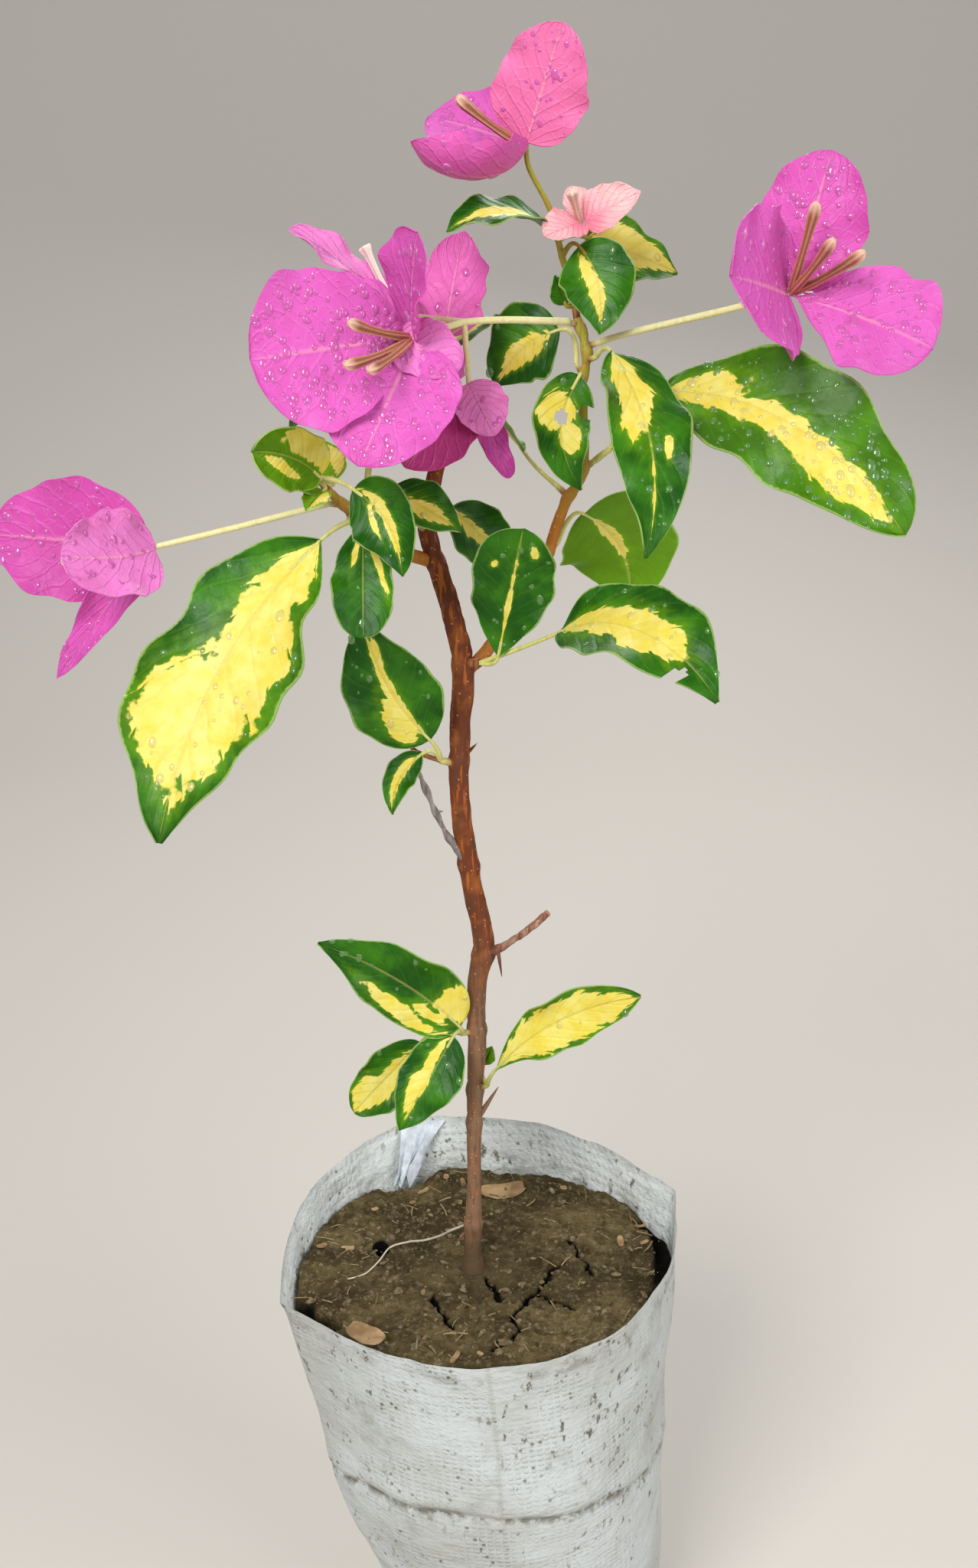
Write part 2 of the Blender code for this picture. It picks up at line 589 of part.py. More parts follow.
def grow(twig, origin, start, name, limbs, dice, pieces):
    """Make a twig and all that it bears; steps are measured from origin."""
    stations = [start]
    place = origin
    for step in twig.steps:
        place = step_from(place, step)
        stations.append(place)
    parts = 2 if len(stations) > 2 else 1
    route = through(stations, parts)
    radii = [lerp(twig.radius, twig.radius * 0.85, i / (len(route) - 1)) for i in range(len(route))]
    pieces.append(tube(name + "_twig", route, radii, 5, "shoot"))
    bear(twig.bears, place, place, name, limbs, dice, pieces)
    if any(isinstance(item, Bract) for item in twig.bears):
        pieces.append(ball(name + "_knot", place, KNOT_RADIUS, "bract"))


def bear(items, origin, start, name, limbs, dice, pieces):
    """Put leaves, bracts, flower tubes and twigs on the end of a twig."""
    for item in items:
        if isinstance(item, Twig):
            grow(item, origin, start, name, limbs, dice, pieces)
            continue
        base = step_from(origin, item.reach)
        if isinstance(item, Tube):
            tip = step_from(base, item.axis)
            middle = base.lerp(tip, 0.5)
            pieces.append(tube(name + "_floret", [start, middle, tip], FLORET_RADII, 6, "bract"))
            continue
        is_leaf = isinstance(item, Leaf)
        rows = LEAF_ROWS if is_leaf else BRACT_ROWS
        edge = [c + side * e * item.width * 0.5 * outline(s, LEAF_OUTLINE)
                for (c, side, up), s in zip(blade_rows(base, item, rows), rows) for e in (-1, 0, 1)]
        if min(distance_to(*limb, p) for limb in limbs for p in edge[3:]) < GAP + LEAF_THICKNESS / 2:
            continue
        sheet = blade_sheet(name + "_blade", base, item, is_leaf, dice)
        pieces.append(sheet)
        if is_leaf:
            sunk = blade_rows(base, item, (STALK_SINK,))[0][0]
            stalk = bow_route(start, base, (sunk - base).normalized(), 3) + [sunk]
            pieces.append(tube(name + "_stalk", stalk, [STALK_RADIUS] * len(stalk), 5, "leaf"))


def make_spray(spray, limbs):
    """One mass: a stub by its limb, with all that it bears fused on."""
    route, radii = limbs[spray.limb]
    centre, radius = place_at_height(route, radii, spray.height)
    length, heading, pitch = spray.stub
    toward = aim(heading, pitch)
    foot = foot_clear_of(route, radii, centre, toward, spray.radius)
    end = foot + toward * length
    stub = tube(spray.name, [foot, foot.lerp(end, 0.5), end], [spray.radius] * 3, 6, spray.colour)
    pieces = []
    dice = random.Random(len(spray.name) * 31 + round(spray.height))
    bear(spray.bears, centre, end, spray.name, list(limbs.values()), dice, pieces)
    fuse(stub, pieces)
    stub.data.materials.clear()
    stub.data.materials.append(finish(spray.colour))
    return stub


def make_limbs():
    """Trunk and boughs; a bough starts one gap clear of the limb that carries it."""
    limbs = {}
    for limb in (TRUNK, RIGHT_SHOOT, LEFT_SHOOT, DEAD_TWIG_LEFT, DEAD_TWIG_RIGHT):
        route, radii = limb_solids(limb)
        if limb is not TRUNK:
            toward = (route[2] - route[0]).normalized()
            foot = foot_clear_of(*limbs["trunk"], route[0], toward, radii[0])
            travelled = (foot - route[0]).length
            kept = [i for i, p in enumerate(route) if (p - route[0]).length > travelled + FOOT_SPACING]
            route = [foot] + [route[i] for i in kept]
            radii = [radii[0]] + [radii[i] for i in kept]
        solid = tube(limb.name, route, radii, limb.sides, limb.colour)
        thorns = []
        for thorn in THORNS:
            if thorn.limb == limb.name:
                root, _ = place_at_height(route, radii, thorn.height)
                tip = step_from(root, thorn.step)
                thorns.append(tube(limb.name + "_thorn", [root, root.lerp(tip, 0.6), tip],
                                   [thorn.radius, thorn.radius * 0.6, thorn.radius * 0.2], 5, limb.colour))
        if thorns:
            fuse(solid, thorns)
        limbs[limb.name] = (route, radii)
    return limbs


def main():
    """Build the plant from the floor up."""
    clear_scene()
    make_grow_bag()
    make_soil()
    limbs = make_limbs()
    for spray in SPRAYS:
        make_spray(spray, limbs)


main()
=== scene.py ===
"""A young variegated bougainvillea in a white grow bag, dressed over its CAD frame.

The scene is in metres, +Z up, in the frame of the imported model. Sizes and points here are
millimetres, and angles degrees: a direction is a heading, turned from +X towards +Y, and a
pitch above the horizontal; a step is (length, heading, pitch), from the place before it.
"""

import logging
import math
import random
from collections.abc import Callable, Sequence
from dataclasses import dataclass
from enum import Enum

import bpy
import numpy as np
from mathutils import Matrix, Vector, noise


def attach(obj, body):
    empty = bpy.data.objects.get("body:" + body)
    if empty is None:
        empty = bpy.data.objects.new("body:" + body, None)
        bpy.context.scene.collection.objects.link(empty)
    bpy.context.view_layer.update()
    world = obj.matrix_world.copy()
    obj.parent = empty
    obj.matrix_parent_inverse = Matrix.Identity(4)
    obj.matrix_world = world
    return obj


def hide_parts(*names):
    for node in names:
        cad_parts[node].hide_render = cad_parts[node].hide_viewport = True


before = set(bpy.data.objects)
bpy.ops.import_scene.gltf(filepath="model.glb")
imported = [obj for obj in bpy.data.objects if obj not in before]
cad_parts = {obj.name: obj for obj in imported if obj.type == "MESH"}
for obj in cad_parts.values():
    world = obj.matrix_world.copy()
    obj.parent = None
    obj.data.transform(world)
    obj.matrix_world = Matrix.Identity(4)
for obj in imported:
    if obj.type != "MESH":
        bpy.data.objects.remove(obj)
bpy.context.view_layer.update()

LOG = logging.getLogger("bougainvillea")
MM = 0.001
FRONT = -90                      # heading of the plant's front
Pair = tuple[float, float]
Triple = tuple[float, float, float]
Step = Triple                    # length, heading, pitch
Colour = Triple
Thing = bpy.types.Object
Material = bpy.types.Material


# ---- directions and routes

def aim(heading: float, pitch: float) -> Vector:
    """Unit vector of a heading and a pitch."""
    h, p = math.radians(heading), math.radians(pitch)
    return Vector((math.cos(p) * math.cos(h), math.cos(p) * math.sin(h), math.sin(p)))


def step_from(place: Vector, step: Step) -> Vector:
    """Where a step of (length, heading, pitch) leads."""
    return place + aim(step[1], step[2]) * step[0]


def lerp(a: float, b: float, f: float) -> float:
    """Value between a and b."""
    return a + (b - a) * f


def smooth(low: float, high: float, value: float) -> float:
    """Eased share of value between low and high."""
    f = min(max((value - low) / (high - low), 0.0), 1.0)
    return f * f * (3 - 2 * f)


def bell(away: float) -> float:
    """1 at 0, falling off to either side."""
    return math.exp(-away ** 2)


def through(stations: Sequence[Sequence[float]], parts: int) -> list[Vector]:
    """Smooth route through stations of any size of tuple.

    Args:
        stations: the places to pass through, in order.
        parts: pieces to a span.

    Returns:
        The points of the route, ends included.
    """
    ends = [stations[0], *stations, stations[-1]]
    route = []
    for i in range(len(stations) - 1):
        before, start, stop, after = (Vector(s) for s in ends[i:i + 4])
        for k in range(parts):
            f = k / parts
            bow = (2 * before - 5 * start + 4 * stop - after) * f * f
            twist = (3 * start - before - 3 * stop + after) * f * f * f
            route.append((2 * start + (stop - before) * f + bow + twist) / 2)
    route.append(Vector(stations[-1]))
    return route


def bow_route(start: Vector, end: Vector, leaving: Vector, parts: int) -> list[Vector]:
    """A short curve that comes in along a direction.

    Args:
        start: its first point.
        end: its last point.
        leaving: direction in which it arrives.
        parts: number of its pieces.

    Returns:
        The points of the curve, ends included.
    """
    control = end - leaving * (end - start).length * 0.5
    spans = [k / parts for k in range(parts + 1)]
    return [start * (1 - f) ** 2 + control * 2 * f * (1 - f) + end * f ** 2 for f in spans]


def apart(turn: float, heading: float) -> float:
    """Degrees from a heading to a turn, the short way round."""
    return (turn - heading + 180) % 360 - 180


def wobble(place: Vector, size: float, seed: float = 0.0) -> float:
    """Smooth noise of about -1 to 1 at a place, with features of this size."""
    return noise.noise(place / size + Vector((seed, seed * 1.7, -seed)))


# ---- modelling

def select_only(*things: Thing) -> None:
    """Select these objects alone, the first one active.

    Args:
        things: objects to select.
    """
    bpy.ops.object.select_all(action="DESELECT")
    for thing in things:
        thing.select_set(True)
    bpy.context.view_layer.objects.active = things[0]


def shaped_grid(name: str, across: int, along: int,
                place: Callable[[float, float], Sequence[float]]) -> Thing:
    """A grid primitive whose vertices are moved to their places.

    Args:
        name: of the object.
        across: faces along the grid's first side.
        along: faces along its second side.
        place: gives the point at shares (u, v) of the two sides.

    Returns:
        The object, with its place in its mesh.
    """
    bpy.ops.object.select_all(action="DESELECT")
    bpy.ops.mesh.primitive_grid_add(x_subdivisions=across, y_subdivisions=along, size=1.0)
    made = bpy.context.object
    made.name = made.data.name = name
    for vertex in made.data.vertices:
        vertex.co = Vector(place(vertex.co.x + 0.5, vertex.co.y + 0.5)) * MM
    return made


def close_up(made: Thing, weld: float = 0.00001) -> None:
    """Weld a rolled grid's seam, fill its ends and face it outwards.

    Args:
        made: the rolled grid.
        weld: distance within which points are merged, in metres.
    """
    select_only(made)
    bpy.ops.object.mode_set(mode="EDIT")
    bpy.ops.mesh.select_all(action="SELECT")
    bpy.ops.mesh.remove_doubles(threshold=weld)
    bpy.ops.mesh.fill_holes(sides=0)
    bpy.ops.mesh.normals_make_consistent(inside=False)
    bpy.ops.object.mode_set(mode="OBJECT")


def apply_modifier(made: Thing, kind: str, **settings: object) -> None:
    """Add one modifier with these settings and apply it.

    Args:
        made: the object.
        kind: the modifier's type.
        settings: its properties.
    """
    select_only(made)
    modifier = made.modifiers.new("step", kind)
    for key, value in settings.items():
        setattr(modifier, key, value)
    bpy.ops.object.modifier_apply(modifier=modifier.name)


def shade_soft(made: Thing, angle: float = 50.0) -> None:
    """Smooth shading, with edges sharper than angle left crisp."""
    select_only(made)
    bpy.ops.object.shade_smooth_by_angle(angle=math.radians(angle))


def join(name: str, parts: list[Thing]) -> Thing:
    """Join parts into one object of this name.

    Args:
        name: of the joined object.
        parts: objects to join.

    Returns:
        The joined object.
    """
    select_only(*parts)
    if len(parts) > 1:
        bpy.ops.object.join()
    made = bpy.context.view_layer.objects.active
    made.name = made.data.name = name
    return made


def rolled_tube(name: str, route: list[Vector], radii: list[float], sides: int,
                relief: Callable[[Vector, float], float] | None = None,
                woody: Pair = (0.0, 0.0)) -> Thing:
    """A round tapering solid along a route.

    Args:
        name: of the object.
        route: centre line.
        radii: at each point of the route.
        sides: faces round it.
        relief: how far the skin stands out, at a point and its share of the length.
        woody: how brown it is at its start and its end.

    Returns:
        The closed tube.
    """
    frames = []
    across = (route[1] - route[0]).orthogonal().normalized()
    for i in range(len(route)):
        along = (route[min(i + 1, len(route) - 1)] - route[max(i - 1, 0)]).normalized()
        across = (across - along * across.dot(along)).normalized()
        frames.append((across.copy(), along.cross(across)))

    def place(u: float, v: float) -> Vector:
        """Point of the skin.

        Args:
            u: turn round the tube.
            v: share of its length.

        Returns:
            The point.
        """
        i = round(v * (len(route) - 1))
        side, over = frames[i]
        outward = side * math.cos(2 * math.pi * u) + over * math.sin(2 * math.pi * u)
        skin = route[i] + outward * radii[i]
        return skin + outward * relief(skin, v) if relief else skin

    made = shaped_grid(name, sides, len(route) - 1, place)
    count, last = len(made.data.vertices), len(route) - 1
    store(made, woody=[lerp(*woody, i // (sides + 1) / last) for i in range(count)])
    close_up(made)
    return made


def store(made: Thing, **layers: Sequence[float]) -> None:
    """Keep a number for each vertex in a layer of this name.

    Args:
        made: the object.
        layers: a number for each vertex, by layer.
    """
    for name, values in layers.items():
        layer = made.data.attributes.new(name, "FLOAT", "POINT")
        layer.data.foreach_set("value", np.array(values, dtype=np.float32))


def own_copy(model: Thing, place: Matrix) -> Thing:
    """A copy of a model with a mesh of its own.

    Args:
        model: what to copy.
        place: matrix that moves the copy's mesh.

    Returns:
        The copy.
    """
    made = model.copy()
    made.data = model.data.copy()
    made.data.transform(place)
    bpy.context.collection.objects.link(made)
    return made


def placed(spot: Vector, turned: Matrix, size: Sequence[float]) -> Matrix:
    """Matrix that sizes, turns and moves to a spot, from millimetres to metres."""
    scale = Matrix.Diagonal((size[0] * MM, size[1] * MM, size[2] * MM, 1.0))
    return Matrix.Translation(spot * MM) @ turned.to_4x4() @ scale


def dress(made: Thing, material: Material, slot: str | None, *nodes: str) -> None:
    """Give a finished piece its material and body, and hide the frame's parts it stands for.

    Args:
        made: the piece.
        material: of the whole piece.
        slot: of the frame's look, or None; not used.
        nodes: whose solids the piece replaces.
    """
    made.data.materials.clear()
    made.data.materials.append(material)
    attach(made, "root")
    if nodes:
        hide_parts(*nodes)
    LOG.info("%s: %d faces", made.name, len(made.data.polygons))


# ---- shader maths

class Value:
    """A shader socket in arithmetic: each operation adds a Math node."""

    def __init__(self, tree: bpy.types.NodeTree, socket: bpy.types.NodeSocket) -> None:
        """Wrap one output socket."""
        self.tree = tree
        self.socket = socket

    def math(self, operation: str, *others: "Value | float", flip: bool = False) -> "Value":
        """One Math node on this value and others.

        Args:
            operation: the Math node's operation.
            others: what fills its other inputs.
            flip: put this value second.

        Returns:
            The result.
        """
        node = self.tree.nodes.new("ShaderNodeMath")
        node.operation = operation
        entries = [self, *others]
        if flip:
            entries.reverse()
        for entry, target in zip(entries, node.inputs):
            if isinstance(entry, Value):
                self.tree.links.new(entry.socket, target)
            else:
                target.default_value = entry
        return Value(self.tree, node.outputs[0])

    def __add__(self, other: "Value | float") -> "Value":
        """Sum."""
        return self.math("ADD", other)

    __radd__ = __add__

    def __mul__(self, other: "Value | float") -> "Value":
        """Product."""
        return self.math("MULTIPLY", other)

    __rmul__ = __mul__

    def __sub__(self, other: "Value | float") -> "Value":
        """Difference."""
        return self.math("SUBTRACT", other)

    def __rsub__(self, other: float) -> "Value":
        """Difference from a number."""
        return self.math("SUBTRACT", other, flip=True)

    def fade(self, low: float, high: float) -> "Value":
        """Eased share of this value between low and high.

        Args:
            low: where the share is 0.
            high: where it is 1.

        Returns:
            The share.
        """
        node = self.tree.nodes.new("ShaderNodeMapRange")
        node.interpolation_type = "SMOOTHSTEP"
        self.tree.links.new(self.socket, node.inputs["Value"])
        node.inputs["From Min"].default_value = low
        node.inputs["From Max"].default_value = high
        return Value(self.tree, node.outputs[0])

    def ridge(self, width: float) -> "Value":
        """1 where this value is 0, fading to 0 at width to either side."""
        return 1 - self.math("ABSOLUTE").fade(0.0, width)


class Recipe:
    """A Principled material under construction."""

    def __init__(self, name: str) -> None:
        """Start a material.

        Args:
            name: of the material.
        """
        self.material = bpy.data.materials.new(name)
        self.material.use_nodes = True
        self.tree = self.material.node_tree
        self.shader = self.tree.nodes["Principled BSDF"]

    def node(self, kind: str, settings: dict | None = None, inputs: dict | None = None,
             output: int | str = 0) -> Value:
        """One node.

        Args:
            kind: the node's type.
            settings: its properties.
            inputs: a value or a link for each named or numbered socket.
            output: which output to return.

        Returns:
            That output.
        """
        made = self.tree.nodes.new(kind)
        for key, value in (settings or {}).items():
            setattr(made, key, value)
        for key, value in (inputs or {}).items():
            if isinstance(value, Value):
                self.tree.links.new(value.socket, made.inputs[key])
            else:
                made.inputs[key].default_value = value
        return Value(self.tree, made.outputs[output])

    def place(self, scale: Sequence[float] = (1, 1, 1)) -> Value:
        """Object coordinates, stretched."""
        inputs = {"Vector": self.node("ShaderNodeTexCoord", output="Object"), "Scale": scale}
        return self.node("ShaderNodeMapping", {"vector_type": "POINT"}, inputs)

    def uv(self, name: str) -> tuple[Value, Value]:
        """Place on a UV map.

        Args:
            name: of the map.

        Returns:
            Its first and its second coordinate.
        """
        split = self.node("ShaderNodeSeparateXYZ",
                          inputs={0: self.node("ShaderNodeUVMap", {"uv_map": name})})
        return split, Value(self.tree, split.socket.node.outputs[1])

    def blade_uv(self) -> tuple[Value, Value]:
        """Place across (-1 to 1) and along (0 to 1) a leaf or a bract."""
        across, along = self.uv("blade")
        return across * 2 - 1, along

    def attribute(self, name: str) -> Value:
        """A number stored on the mesh."""
        return self.node("ShaderNodeAttribute", {"attribute_name": name}, output="Fac")

    def noise(self, vector: Value, scale: float, detail: float = 3.0, rough: float = 0.55) -> Value:
        """Noise of 0 to 1."""
        return self.node("ShaderNodeTexNoise", {}, {
            "Vector": vector, "Scale": scale, "Detail": detail, "Roughness": rough})

    def cells(self, vector: Value, scale: float, feature: str = "DISTANCE_TO_EDGE") -> Value:
        """Distance in a pattern of cells."""
        return self.node("ShaderNodeTexVoronoi", {"feature": feature},
                         {"Vector": vector, "Scale": scale})

    def mix(self, share: Value | float, first: Value | Colour, second: Value | Colour) -> Value:
        """Colour between two colours."""
        sources = {0: share, 6: opaque(first), 7: opaque(second)}
        return self.node("ShaderNodeMix", {"data_type": "RGBA"}, sources, 2)

    def bump(self, height: Value, distance: float, strength: float = 1.0) -> Value:
        """Relief in metres, ready for Normal."""
        return self.node("ShaderNodeBump", {},
                         {"Height": height, "Distance": distance, "Strength": strength})

    def finish(self, **sockets: Value | float | Colour) -> Material:
        """Fill the shader's sockets.

        Args:
            sockets: what goes in each, its name's spaces written as _.

        Returns:
            The finished material.
        """
        for key, value in sockets.items():
            target = self.shader.inputs[key.replace("_", " ")]
            if isinstance(value, Value):
                self.tree.links.new(value.socket, target)
            else:
                target.default_value = opaque(value) if isinstance(value, tuple) else value
        return self.material


def opaque(colour: Value | Colour) -> Value | tuple[float, float, float, float]:
    """A plain colour with its alpha; a linked one as it is."""
    return colour if isinstance(colour, Value) else (*colour, 1.0)


def darker(colour: Colour, share: float) -> Colour:
    """A share of a colour."""
    return tuple(part * share for part in colour)


# ---- finishes

@dataclass(frozen=True)
class LeafFinish:
    """Wet glossy leaf: green, with a cream area that is jagged along the veins and carries painted
    shade in ochre patches.
    """

    name: str = "variegated_leaf"
    dark: Colour = (0.006, 0.07, 0.0)
    green: Colour = (0.036, 0.175, 0.002)
    light: Colour = (0.2, 0.42, 0.0)
    cream: Colour = (0.75, 0.61, 0.07)
    pale: Colour = (0.79, 0.7, 0.18)
    # ochre of the veins on the cream, also the colour of the painted shade patches on it
    ochre_vein_and_shade: Colour = (0.58, 0.44, 0.06)
    rim: Colour = (0.42, 0.58, 0.16)
    veins: float = 8.0

    def build(self) -> Material:
        """Make the material.

        Returns:
            The leaf's material.
        """
        r = Recipe(self.name)
        where = r.place()
        across, along = r.blade_uv()
        away = across.math("ABSOLUTE")
        tone = r.attribute("tone")
        coarse = r.noise(where, 160) - 0.5
        fine = r.noise(where, 700, 2) - 0.5
        vein = (along * self.veins - away * 2.3 + coarse * 0.5).math("FRACT") - 0.5
        field = r.attribute("cream") + coarse * 1.2 + fine * 0.14 + vein * 0.2
        inside = field.fade(-0.05, 0.06)
        halo = field.fade(-0.75, 0.1)
        blotch = r.noise(where, 90).fade(0.35, 0.7)
        flesh = r.mix(blotch, self.dark, self.green)
        flesh = r.mix(tone * 0.85, flesh, self.light)
        flesh = r.mix(halo * (coarse + 0.5) * 0.6, flesh, self.light)
        yellow = r.mix(r.noise(where, 220, 2).fade(0.3, 0.75), self.cream, self.pale)
        # painted shade: ochre noise patches on the cream stand in for the soft shading of its folds
        yellow = r.mix(r.noise(where, 75).fade(0.5, 0.75) * 0.35, yellow, self.ochre_vein_and_shade)
        yellow = r.mix(vein.ridge(0.08) * 0.25, yellow, self.ochre_vein_and_shade)
        yellow = r.mix(across.ridge(0.035) * 0.45, yellow, self.ochre_vein_and_shade)
        colour = r.mix(inside, flesh, yellow)
        rib = across.ridge(0.055)
        colour = r.mix(rib * 0.22 * (1 - inside), colour, self.pale)
        colour = r.mix(vein.ridge(0.06) * 0.1 * (1 - inside), colour, self.light)
        colour = r.mix((away + fine * 0.06).fade(0.95, 0.985) * 0.55, colour, self.rim)
        relief = vein.ridge(0.2) * -0.3 - across.ridge(0.09) * 0.8 + r.noise(where, 330) * 1.1
        gloss = r.noise(where, 240, 2) * 0.25 + 0.3
        return r.finish(Base_Color=colour, Roughness=gloss, Normal=r.bump(relief, 0.00035, 0.8),
                        Coat_Weight=0.04, Coat_Roughness=0.12, Specular_IOR_Level=0.2)


@dataclass(frozen=True)
class BractFinish:
    """Papery bract: pink, with a pale midrib, branching veins and soft blotches."""

    name: str = "papery_bract"
    deep: Colour = (0.5, 0.02, 0.22)
    pink: Colour = (0.64, 0.1, 0.44)
    pale: Colour = (0.78, 0.22, 0.55)
    salmon: Colour = (0.84, 0.17, 0.27)
    young: Colour = (0.88, 0.52, 0.49)
    rib: Colour = (0.85, 0.36, 0.42)
    veins: float = 6.5

    def build(self) -> Material:
        """Make the material.

        Returns:
            The bract's material.
        """
        r = Recipe(self.name)
        where = r.place()
        across, along = r.blade_uv()
        away = across.math("ABSOLUTE")
        tone = r.attribute("tone")
        coarse = r.noise(where, 130) - 0.5
        vein = (along * self.veins - away * 2.8 + coarse * 0.9).math("FRACT") - 0.5
        net = 1 - r.cells(where, 330).fade(0.0, 0.09)
        warm = r.attribute("warm")
        colour = r.mix(tone.fade(0.0, 0.5), self.deep, self.pink)
        colour = r.mix(tone.fade(0.5, 1.0), colour, self.pale)
        colour = r.mix(r.noise(where, 100).fade(0.45, 0.8) * 0.35, colour, self.deep)
        colour = r.mix(warm.fade(0.0, 0.5), colour, self.salmon)
        end = (along + away * 0.3 + coarse).fade(-0.1, 0.9)
        colour = r.mix(warm.fade(0.4, 0.9) * end, colour, self.young)
        colour = r.mix(vein.ridge(0.05) * 0.3, colour, self.pale)
        colour = r.mix(net * 0.12, colour, self.pale)
        colour = r.mix(across.ridge(0.05) * (1 - along * 0.6) * 0.7, colour, self.rib)
        relief = vein.ridge(0.16) * 0.6 + across.ridge(0.08) + net * 0.25
        relief += r.noise(where, 500) * 0.5
        rough = r.noise(where, 300, 2) * 0.25 + 0.3
        return r.finish(Base_Color=colour, Roughness=rough, Normal=r.bump(relief, 0.0003, 0.8),
                        Specular_IOR_Level=0.2)


@dataclass(frozen=True)
class SkinFinish:
    """A stem's skin: colours that change with height, streaks along it and pale specks."""

    name: str
    low: Colour
    high: Colour
    streak: Colour
    change: Pair
    streaks: float = 0.6
    rough: float = 0.55
    grain: float = 1.0
    shadow: float = 0.55
    dusty: float = 0.0
    soil: Colour = (0.08, 0.056, 0.026)
    wood: Colour = (0.16, 0.04, 0.015)
    wood_light: Colour = (0.36, 0.14, 0.05)

    def build(self) -> Material:
        """Make the material.

        Returns:
            The skin's material.
        """
        r = Recipe(self.name)
        where = r.place()
        drawn = r.place((1, 1, 0.12))
        height = r.node("ShaderNodeSeparateXYZ", inputs={0: where}, output=2)
        wander = r.noise(where, 60) - 0.5
        share = (height + wander * 0.02).fade(self.change[0] * MM, self.change[1] * MM)
        base = r.mix(share, self.low, self.high)
        lines = r.noise(drawn, 900, 4)
        colour = r.mix(lines.fade(0.52, 0.66) * share * self.streaks, base, self.streak)
        colour = r.mix(lines.fade(0.5, 0.36) * self.shadow, colour, darker(self.low, 0.35))
        colour = r.mix(r.noise(where, 120).fade(0.5, 0.7) * 0.35, colour, self.streak)
        specks = 1 - r.cells(where, 520, "F1").fade(0.12, 0.2)
        colour = r.mix(specks * 0.35, colour, tuple(min(c * 1.8 + 0.12, 1.0) for c in self.streak))
        dust = (1 - (height + wander * 0.012).fade(0.156, 0.168)) * self.dusty
        colour = r.mix(dust, colour, self.soil)
        wood = r.mix(lines.fade(0.4, 0.6), self.wood, self.wood_light)
        colour = r.mix(r.attribute("woody").fade(0.2, 0.8), colour, wood)
        relief = lines * 1.1 + r.noise(where, 800) * 0.6 + specks * 0.5
        return r.finish(Base_Color=colour, Roughness=lines * 0.2 + self.rough,
                        Normal=r.bump(relief, 0.00025 * self.grain, 0.9), Specular_IOR_Level=0.25)


@dataclass(frozen=True)
class FloretFinish:
    """Slim flower tube: pinkish tan, with darker furrows along it and a pale mouth."""

    name: str = "flower_tube"
    base: Colour = (0.45, 0.1, 0.13)
    tan: Colour = (0.3, 0.11, 0.045)
    fleck: Colour = (0.62, 0.34, 0.16)
    mouth: Colour = (0.8, 0.5, 0.36)
    white: Colour = (0.85, 0.76, 0.68)

    def build(self) -> Material:
        """Make the material.

        Returns:
            The tube's material.
        """
        r = Recipe(self.name)
        where = r.place()
        along = r.attribute("along")
        colour = r.mix(along.fade(0.0, 0.4), self.base, self.tan)
        colour = r.mix(r.attribute("furrow").fade(0.2, 0.9) * 0.75, colour, self.fleck)
        colour = r.mix(r.noise(where, 700).fade(0.45, 0.65) * 0.4, colour, self.base)
        colour = r.mix(along.fade(0.85, 0.97) * 0.75, colour, self.mouth)
        colour = r.mix(r.attribute("white") * 0.85, colour, self.white)
        return r.finish(Base_Color=colour, Roughness=0.5,
                        Normal=r.bump(r.noise(where, 1500), 0.0002, 0.8))


@dataclass(frozen=True)
class DewFinish:
    """Clear water that takes the colour of what it lies on, with a sharp shine and a painted pale
    rim of light round each bead.
    """

    name: str = "dew"
    on_green: Colour = (0.12, 0.3, 0.06)
    on_cream: Colour = (0.8, 0.7, 0.2)
    on_pink: Colour = (0.72, 0.13, 0.5)
    # painted light: pale colour of the rim of light round each bead
    edge: Colour = (0.9, 0.9, 0.92)

    def build(self) -> Material:
        """Make the material.

        Returns:
            The water's material.
        """
        r = Recipe(self.name)
        under = r.attribute("under")
        colour = r.mix(under.fade(0.0, 0.5), self.on_green, self.on_cream)
        colour = r.mix(under.fade(0.5, 1.0), colour, self.on_pink)
        # painted light: the pale colour round each bead's edge stands in for the bright rim that
        # light makes in a water drop
        colour = r.mix(r.attribute("edge").fade(0.5, 0.9) * (under * 0.1 + 0.3), colour, self.edge)
        return r.finish(Base_Color=colour, Roughness=0.07, IOR=1.33, Alpha=0.6,
                        Specular_IOR_Level=0.9, Coat_Weight=1.0, Coat_Roughness=0.03)


